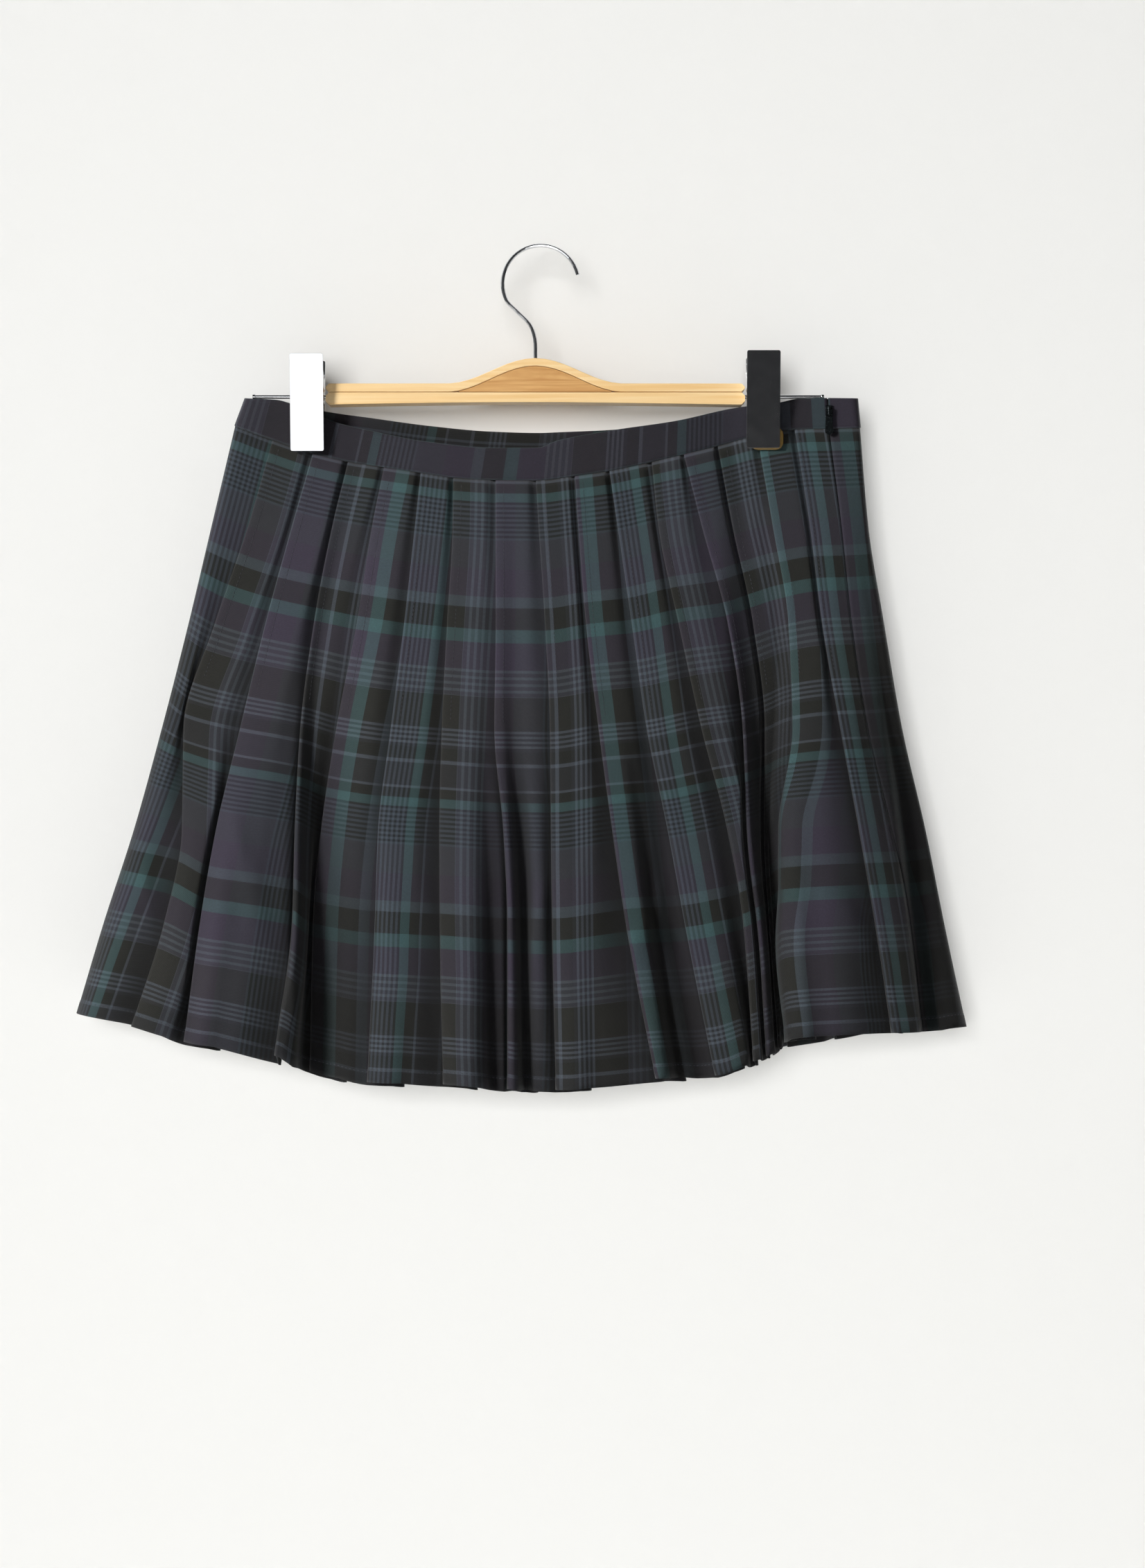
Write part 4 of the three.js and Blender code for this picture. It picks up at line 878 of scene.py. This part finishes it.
def stitch_tree():
    tree = bpy.data.node_groups.new("stitch_row", "GeometryNodeTree")
    tree.interface.new_socket("Geometry", in_out="INPUT", socket_type="NodeSocketGeometry")
    for socket in ("Pitch", "Thread", "Length"):
        tree.interface.new_socket(socket, in_out="INPUT", socket_type="NodeSocketFloat")
    tree.interface.new_socket("Material", in_out="INPUT", socket_type="NodeSocketMaterial")
    tree.interface.new_socket("Geometry", in_out="OUTPUT", socket_type="NodeSocketGeometry")
    make = tree.nodes.new
    start = make("NodeGroupInput")
    end = make("NodeGroupOutput")
    curve = make("GeometryNodeMeshToCurve")
    spaced = make("GeometryNodeResampleCurve")
    spaced.mode = "LENGTH"
    tangent = make("GeometryNodeInputTangent")
    turn = make("FunctionNodeAlignRotationToVector")
    turn.axis = "X"
    bead = make("GeometryNodeMeshIcoSphere")
    bead.inputs["Radius"].default_value = 1.0
    bead.inputs["Subdivisions"].default_value = 1
    place = make("GeometryNodeInstanceOnPoints")
    size = make("ShaderNodeCombineXYZ")
    real = make("GeometryNodeRealizeInstances")
    colour = make("GeometryNodeSetMaterial")
    link = tree.links.new
    link(start.outputs["Geometry"], curve.inputs[0])
    link(curve.outputs[0], spaced.inputs["Curve"])
    link(start.outputs["Pitch"], spaced.inputs["Length"])
    link(spaced.outputs[0], place.inputs["Points"])
    link(tangent.outputs[0], turn.inputs["Vector"])
    link(turn.outputs[0], place.inputs["Rotation"])
    link(bead.outputs["Mesh"], place.inputs["Instance"])
    link(start.outputs["Length"], size.inputs["X"])
    link(start.outputs["Thread"], size.inputs["Y"])
    link(start.outputs["Thread"], size.inputs["Z"])
    link(size.outputs[0], place.inputs["Scale"])
    link(place.outputs[0], real.inputs[0])
    link(real.outputs[0], colour.inputs[0])
    link(start.outputs["Material"], colour.inputs["Material"])
    link(colour.outputs[0], end.inputs[0])
    return tree


stitch_row = stitch_tree()


def socket_id(tree, name):
    items = tree.interface.items_tree
    return next(item.identifier for item in items if item.name == name and item.in_out == "INPUT")


def baked(obj, name):
    """The evaluated object as a plain mesh object under a new name."""
    graph = bpy.context.evaluated_depsgraph_get()
    mesh = bpy.data.meshes.new_from_object(obj.evaluated_get(graph))
    done = bpy.data.objects.new(name, mesh)
    bpy.context.scene.collection.objects.link(done)
    bpy.data.objects.remove(obj)
    return done


def stitches(name, lines, material):
    vertices, edges = [], []
    for line in lines:
        base = len(vertices)
        vertices += [tuple(p) for p in line]
        edges += [(base + i, base + i + 1) for i in range(len(line) - 1)]
    mesh = bpy.data.meshes.new(name + "_line")
    mesh.from_pydata(vertices, edges, [])
    obj = bpy.data.objects.new(name + "_line", mesh)
    bpy.context.scene.collection.objects.link(obj)
    modifier = obj.modifiers.new("stitches", "NODES")
    modifier.node_group = stitch_row
    modifier[socket_id(stitch_row, "Pitch")] = STITCH_PITCH
    modifier[socket_id(stitch_row, "Thread")] = THREAD
    modifier[socket_id(stitch_row, "Length")] = STITCH_LONG / 2
    modifier[socket_id(stitch_row, "Material")] = material
    done = baked(obj, name)
    done.data.polygons.foreach_set("use_smooth", np.ones(len(done.data.polygons), bool))
    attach(done, SKIRT)


def thread_material():
    material, tree, shader = new_material("dark_thread")
    colour = mix_colour(tree, own_noise(tree, 900.0), srgb(20, 20, 26), srgb(44, 44, 54))
    tree.links.new(colour, shader.inputs["Base Color"])
    shader.inputs["Roughness"].default_value = 0.6
    return material


dark_thread = thread_material()


def surface_line(rows, columns_of, row_range, lift):
    """Points just proud of the outer cloth, along one column or one row of a panel's grid."""
    points = np.array(rows) * MM
    down = np.gradient(points, axis=0)
    across = np.gradient(points, axis=1)
    normals = np.cross(across, down)
    normals /= np.maximum(np.linalg.norm(normals, axis=2, keepdims=True), 1e-12)
    lifted = points - normals * lift * MM
    return [lifted[r, c] for r, c in zip(row_range, columns_of)]


TIP_AT = BOTTOM + TURN + MIDDLE + EDGE // 2
PLEAT_POINTS = BOTTOM + TURN + MIDDLE + EDGE + TOP + SLOPE
stitch_at = BOTTOM + TURN + MIDDLE + EDGE + 1
stitched_rows = [i for i, t in enumerate(downs) if 2 < t < STITCHED]
hem_row = int(np.argmin(np.abs(downs - (CLOTH_LENGTH - HEM_TURN))))


def pleat_lines(rows, first, count):
    lines = []
    for k in range(count):
        column = first + k * PLEAT_POINTS + stitch_at
        lines.append(surface_line(rows, [column] * len(stitched_rows), stitched_rows, CLOTH_THICK / 2))
    return lines


def hem_lines(rows, first, count, start, stop):
    n_cols = len(rows[0])
    seen = list(range(start, first))
    lines = []
    for k in range(count):
        lines.append(seen)
        tip = first + k * PLEAT_POINTS + TIP_AT
        seen = list(range(tip + 1, first + (k + 1) * PLEAT_POINTS))
    seen += list(range(first + count * PLEAT_POINTS, n_cols - stop))
    lines.append(seen)
    lines = [seen for seen in lines if len(seen) > 1]
    return [surface_line(rows, seen, [hem_row] * len(seen), CLOTH_THICK / 2) for seen in lines]


front_first = len(CAP) + 9
back_first = STRIP_POINTS + len(CAP) * 2 - 1 + 3
front_folds = len(FRONT_NAMES)
stitches("front_pleat_stitches", pleat_lines(front_rows, front_first, front_folds), dark_thread)
stitches("back_pleat_stitches", pleat_lines(back_rows, back_first, BACK_FOLDS), dark_thread)
stitches("front_hem_stitches", hem_lines(front_rows, front_first, front_folds, 1, 0), dark_thread)
stitches("back_hem_stitches", hem_lines(back_rows, back_first, BACK_FOLDS, 0, 1), dark_thread)


# Zip: a concealed zip in the side seam, dark coated metal, with woven tapes behind the seam.
# Slider and pull tab are pressed and cast pieces with softened edges.
def eased(node, name, width, angle=32.0, segments=2):
    """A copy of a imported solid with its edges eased, which takes the solid's place."""
    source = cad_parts[node]
    mesh = source.data.copy()
    mesh.materials.clear()
    if "custom_normal" in mesh.attributes:
        mesh.attributes.remove(mesh.attributes["custom_normal"])
    work = bmesh.new()
    work.from_mesh(mesh)
    bmesh.ops.remove_doubles(work, verts=work.verts, dist=1e-6)
    bmesh.ops.dissolve_limit(work, angle_limit=math.radians(0.6), verts=work.verts, edges=work.edges)
    work.to_mesh(mesh)
    work.free()
    mesh.polygons.foreach_set("use_smooth", np.ones(len(mesh.polygons), bool))
    obj = bpy.data.objects.new(name + "_plain", mesh)
    bpy.context.scene.collection.objects.link(obj)
    bevel = obj.modifiers.new("eased", "BEVEL")
    bevel.width = width
    bevel.segments = segments
    bevel.limit_method = "ANGLE"
    bevel.angle_limit = math.radians(angle)
    bevel.harden_normals = True
    done = baked(obj, name)
    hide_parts(node)
    return done


def dark_metal():
    material, tree, shader = new_material("dark_zip_metal")
    noise = own_noise(tree, 700.0, 3.0)
    colour = mix_colour(tree, noise, srgb(30, 34, 36), srgb(56, 62, 64))
    tree.links.new(colour, shader.inputs["Base Color"])
    rough = math_node(tree, "ADD", math_node(tree, "MULTIPLY", noise, 0.2), 0.16)
    tree.links.new(rough, shader.inputs["Roughness"])
    shader.inputs["Metallic"].default_value = 0.85
    return material


def tape_material():
    material, tree, shader = new_material("zip_tape_weave")
    place = tree.nodes.new("ShaderNodeTexCoord")
    wave = tree.nodes.new("ShaderNodeTexWave")
    wave.inputs["Scale"].default_value = 420.0
    wave.inputs["Distortion"].default_value = 1.5
    tree.links.new(place.outputs["Object"], wave.inputs["Vector"])
    colour = mix_colour(tree, wave.outputs["Fac"], srgb(20, 20, 24), srgb(36, 36, 42))
    tree.links.new(colour, shader.inputs["Base Color"])
    bump = tree.nodes.new("ShaderNodeBump")
    bump.inputs["Distance"].default_value = 0.0001
    tree.links.new(wave.outputs["Fac"], bump.inputs["Height"])
    tree.links.new(bump.outputs["Normal"], shader.inputs["Normal"])
    shader.inputs["Roughness"].default_value = 0.85
    return material


zip_metal = dark_metal()
zip_weave = tape_material()
slider = eased("zip_slider", "slider", 0.00025)
dress(slider, zip_metal, SKIRT)
pull_tab = eased("zip_pull", "pull_tab", 0.00018)
dress(pull_tab, zip_metal, "pull_tab")
for node in ("zip_tape_left", "zip_tape_right"):
    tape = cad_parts[node]
    tape.data.materials.clear()
    tape.data.materials.append(zip_weave)


# Hanger bar: beech laminated from a straight lower strip and an upper strip bent over a filler,
# sanded round at its edges and varnished clear.
def wood_material(name, light, dark, stretch, bend):
    material, tree, shader = new_material(name)
    place = tree.nodes.new("ShaderNodeTexCoord")
    turned = tree.nodes.new("ShaderNodeMapping")
    turned.inputs["Scale"].default_value = stretch
    tree.links.new(place.outputs["Object"], turned.inputs["Vector"])
    grain = tree.nodes.new("ShaderNodeTexNoise")
    grain.inputs["Scale"].default_value = 1.0
    grain.inputs["Detail"].default_value = 6.0
    grain.inputs["Distortion"].default_value = bend
    tree.links.new(turned.outputs[0], grain.inputs["Vector"])
    ramp = tree.nodes.new("ShaderNodeValToRGB")
    ramp.color_ramp.elements[0].position = 0.32
    ramp.color_ramp.elements[0].color = dark
    ramp.color_ramp.elements[1].position = 0.68
    ramp.color_ramp.elements[1].color = light
    tree.links.new(grain.outputs["Fac"], ramp.inputs[0])
    tree.links.new(ramp.outputs["Color"], shader.inputs["Base Color"])
    bump = tree.nodes.new("ShaderNodeBump")
    bump.inputs["Strength"].default_value = 0.2
    bump.inputs["Distance"].default_value = 0.0002
    tree.links.new(grain.outputs["Fac"], bump.inputs["Height"])
    tree.links.new(bump.outputs["Normal"], shader.inputs["Normal"])
    shader.inputs["Roughness"].default_value = 0.42
    shader.inputs["Coat Weight"].default_value = 0.35
    shader.inputs["Coat Roughness"].default_value = 0.25
    return material


beech = wood_material("varnished_beech", srgb(241, 211, 160), srgb(230, 190, 130), (9, 160, 420), 0.6)
filler_wood = wood_material("filler_wood", srgb(214, 168, 108), srgb(188, 136, 78), (16, 120, 260), 1.4)
for node, name, material, slot in (
    ("bar_upper", "upper_strip", beech, "wood"),
    ("bar_filler", "filler_strip", filler_wood, "wood_filler"),
    ("bar_lower", "lower_strip", beech, "wood"),
):
    strip = eased(node, name, 0.0009, angle=28.0, segments=3)
    dress(strip, material, SKIRT)


# Hook, rods, clip plates and springs: plated steel wire and sheet.
def plated_steel():
    material, tree, shader = new_material("plated_steel")
    noise = own_noise(tree, 160.0, 4.0)
    rough = math_node(tree, "ADD", math_node(tree, "MULTIPLY", noise, 0.1), 0.05)
    tree.links.new(rough, shader.inputs["Roughness"])
    colour = mix_colour(tree, noise, srgb(214, 216, 220), srgb(232, 233, 236))
    tree.links.new(colour, shader.inputs["Base Color"])
    shader.inputs["Metallic"].default_value = 1.0
    return material


steel = plated_steel()
STEEL_PIECES = [
    ("rod_left", "left_rod", 0.0003), ("rod_right", "right_rod", 0.0003),
    ("clip_left_front", "left_front_plate", 0.0004), ("clip_left_back", "left_back_plate", 0.0004),
    ("clip_right_front", "right_front_plate", 0.0004), ("clip_right_back", "right_back_plate", 0.0004),
]
for node, name, width in STEEL_PIECES:
    dress(eased(node, name, width), steel, SKIRT)
for node in ("hook", "clip_left_spring", "clip_right_spring"):
    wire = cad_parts[node]
    wire.data.materials.clear()
    wire.data.materials.append(steel)


# Clip pads: soft clear vinyl, yellowed, moulded with round corners so that they don't mark the cloth.
def vinyl():
    material, tree, shader = new_material("clear_vinyl")
    colour = mix_colour(tree, own_noise(tree, 240.0), srgb(214, 170, 86), srgb(240, 206, 132))
    tree.links.new(colour, shader.inputs["Base Color"])
    shader.inputs["Roughness"].default_value = 0.22
    shader.inputs["Transmission Weight"].default_value = 0.7
    shader.inputs["IOR"].default_value = 1.45
    return material


pad_vinyl = vinyl()
for side in ("left", "right"):
    for face in ("front", "back"):
        pad = eased(f"pad_{side}_{face}", f"{side}_{face}_pad", 0.0005, segments=3)
        dress(pad, pad_vinyl, SKIRT)

# Studio: a pale wall close behind and a pale floor below, washed by a light of their own. The garment's
# light comes from far to its left, so each fold shades the valley to its right. A white card low on the
# left is what the left clip mirrors, and the air is dim, with nothing bright on the right.
WALL_Y = 0.058
FLOOR_Z = -1.02


def plane(name, corners, material):
    mesh = bpy.data.meshes.new(name)
    mesh.from_pydata(corners, [], [(0, 1, 2, 3)])
    obj = bpy.data.objects.new(name, mesh)
    bpy.context.scene.collection.objects.link(obj)
    obj.data.materials.append(material)
    return obj


def wall_paint():
    material, tree, shader = new_material("wall_paint")
    shader.inputs["Base Color"].default_value = srgb(240, 240, 238)
    shader.inputs["Roughness"].default_value = 0.95
    clear = tree.nodes.new("ShaderNodeBsdfTransparent")
    choose = tree.nodes.new("ShaderNodeMixShader")
    facing = tree.nodes.new("ShaderNodeNewGeometry")
    tree.links.new(facing.outputs["Backfacing"], choose.inputs[0])
    tree.links.new(shader.outputs[0], choose.inputs[1])
    tree.links.new(clear.outputs[0], choose.inputs[2])
    tree.links.new(choose.outputs[0], tree.nodes["Material Output"].inputs["Surface"])
    return material


paint = wall_paint()
wall = plane("wall", [(-4, WALL_Y, -4), (4, WALL_Y, -4), (4, WALL_Y, 3), (-4, WALL_Y, 3)], paint)
wall.visible_shadow = False
floor = plane("floor", [(-4, -4, FLOOR_Z), (4, -4, FLOOR_Z), (4, 4, FLOOR_Z), (-4, 4, FLOOR_Z)], paint)

world = bpy.data.worlds.new("studio_air")
world.use_nodes = True
air = world.node_tree
way = air.nodes.new("ShaderNodeTexCoord")
parts = air.nodes.new("ShaderNodeSeparateXYZ")
air.links.new(way.outputs["Generated"], parts.inputs[0])
side = air.nodes.new("ShaderNodeMapRange")
side.interpolation_type = "SMOOTHSTEP"
side.inputs["From Min"].default_value = -0.7
side.inputs["From Max"].default_value = 0.12
side.inputs["To Min"].default_value = 0.09
side.inputs["To Max"].default_value = 0.03
air.links.new(parts.outputs["X"], side.inputs["Value"])
# Seen past the wall the air is pale; it lights the garment no more for that.
seen = air.nodes.new("ShaderNodeLightPath")
pale = math_node(air, "MULTIPLY", seen.outputs["Is Camera Ray"], 0.72)
strength = math_node(air, "MAXIMUM", side.outputs["Result"], pale)
air.links.new(strength, air.nodes["Background"].inputs["Strength"])
air.nodes["Background"].inputs["Color"].default_value = (0.97, 0.98, 1.0, 1.0)
bpy.context.scene.world = world
bpy.context.scene.view_settings.view_transform = "Standard"


def area_light(name, place, aim, size, power, colour):
    data = bpy.data.lights.new(name, "AREA")
    data.shape = "RECTANGLE"
    data.size, data.size_y = size
    data.energy = power
    data.color = colour
    obj = bpy.data.objects.new(name, data)
    obj.location = place
    obj.rotation_euler = (Vector(aim) - Vector(place)).to_track_quat("-Z", "Y").to_euler()
    bpy.context.scene.collection.objects.link(obj)
    return obj


def light_group(name, objects, state):
    """What a light reaches: only these objects, or all but them."""
    group = bpy.data.collections.new(name)
    for obj in objects:
        group.objects.link(obj)
    for entry in group.collection_objects:
        entry.light_linking.link_state = state
    return group


SKIRT_MIDDLE = (0.0, 0.0, -0.33)
key = area_light("key", (-3.3, -2.4, 1.1), SKIRT_MIDDLE, (0.8, 0.8), 250.0, (1.0, 0.99, 0.975))
key.light_linking.receiver_collection = light_group("not_on_the_walls", (wall, floor), "EXCLUDE")
wash = area_light("wash", (-0.5, -3.9, -0.1), (0.1, WALL_Y, -0.5), (1.3, 1.3), 116.0, (1.0, 0.997, 0.992))
wash.light_linking.receiver_collection = light_group("on_the_walls", (wall, floor), "INCLUDE")
area_light("left_card", (-0.5, -2.4, -0.32), (-0.15, 0.0, -0.1), (0.9, 0.8), 3.2, (1.0, 1.0, 1.0))
area_light("back", (0.9, 1.8, 0.5), SKIRT_MIDDLE, (1.2, 1.2), 34.0, (1.0, 1.0, 1.0))

# Camera: square to the wall, level with the middle of the picture, framing what the photograph frames.
PICTURE = (1652.0, 2263.0)
camera_data = bpy.data.cameras.new("camera")
camera_data.sensor_fit = "VERTICAL"
camera_data.sensor_height = 36.0
camera_data.lens = camera_data.sensor_height * EYE_AWAY / (PICTURE[1] * SCALE)
camera = bpy.data.objects.new("camera", camera_data)
camera.location = (eye_x * MM, -EYE_AWAY * MM, eye_z * MM)
camera.rotation_euler = (math.pi / 2, 0.0, 0.0)
bpy.context.scene.collection.objects.link(camera)
bpy.context.scene.camera = camera
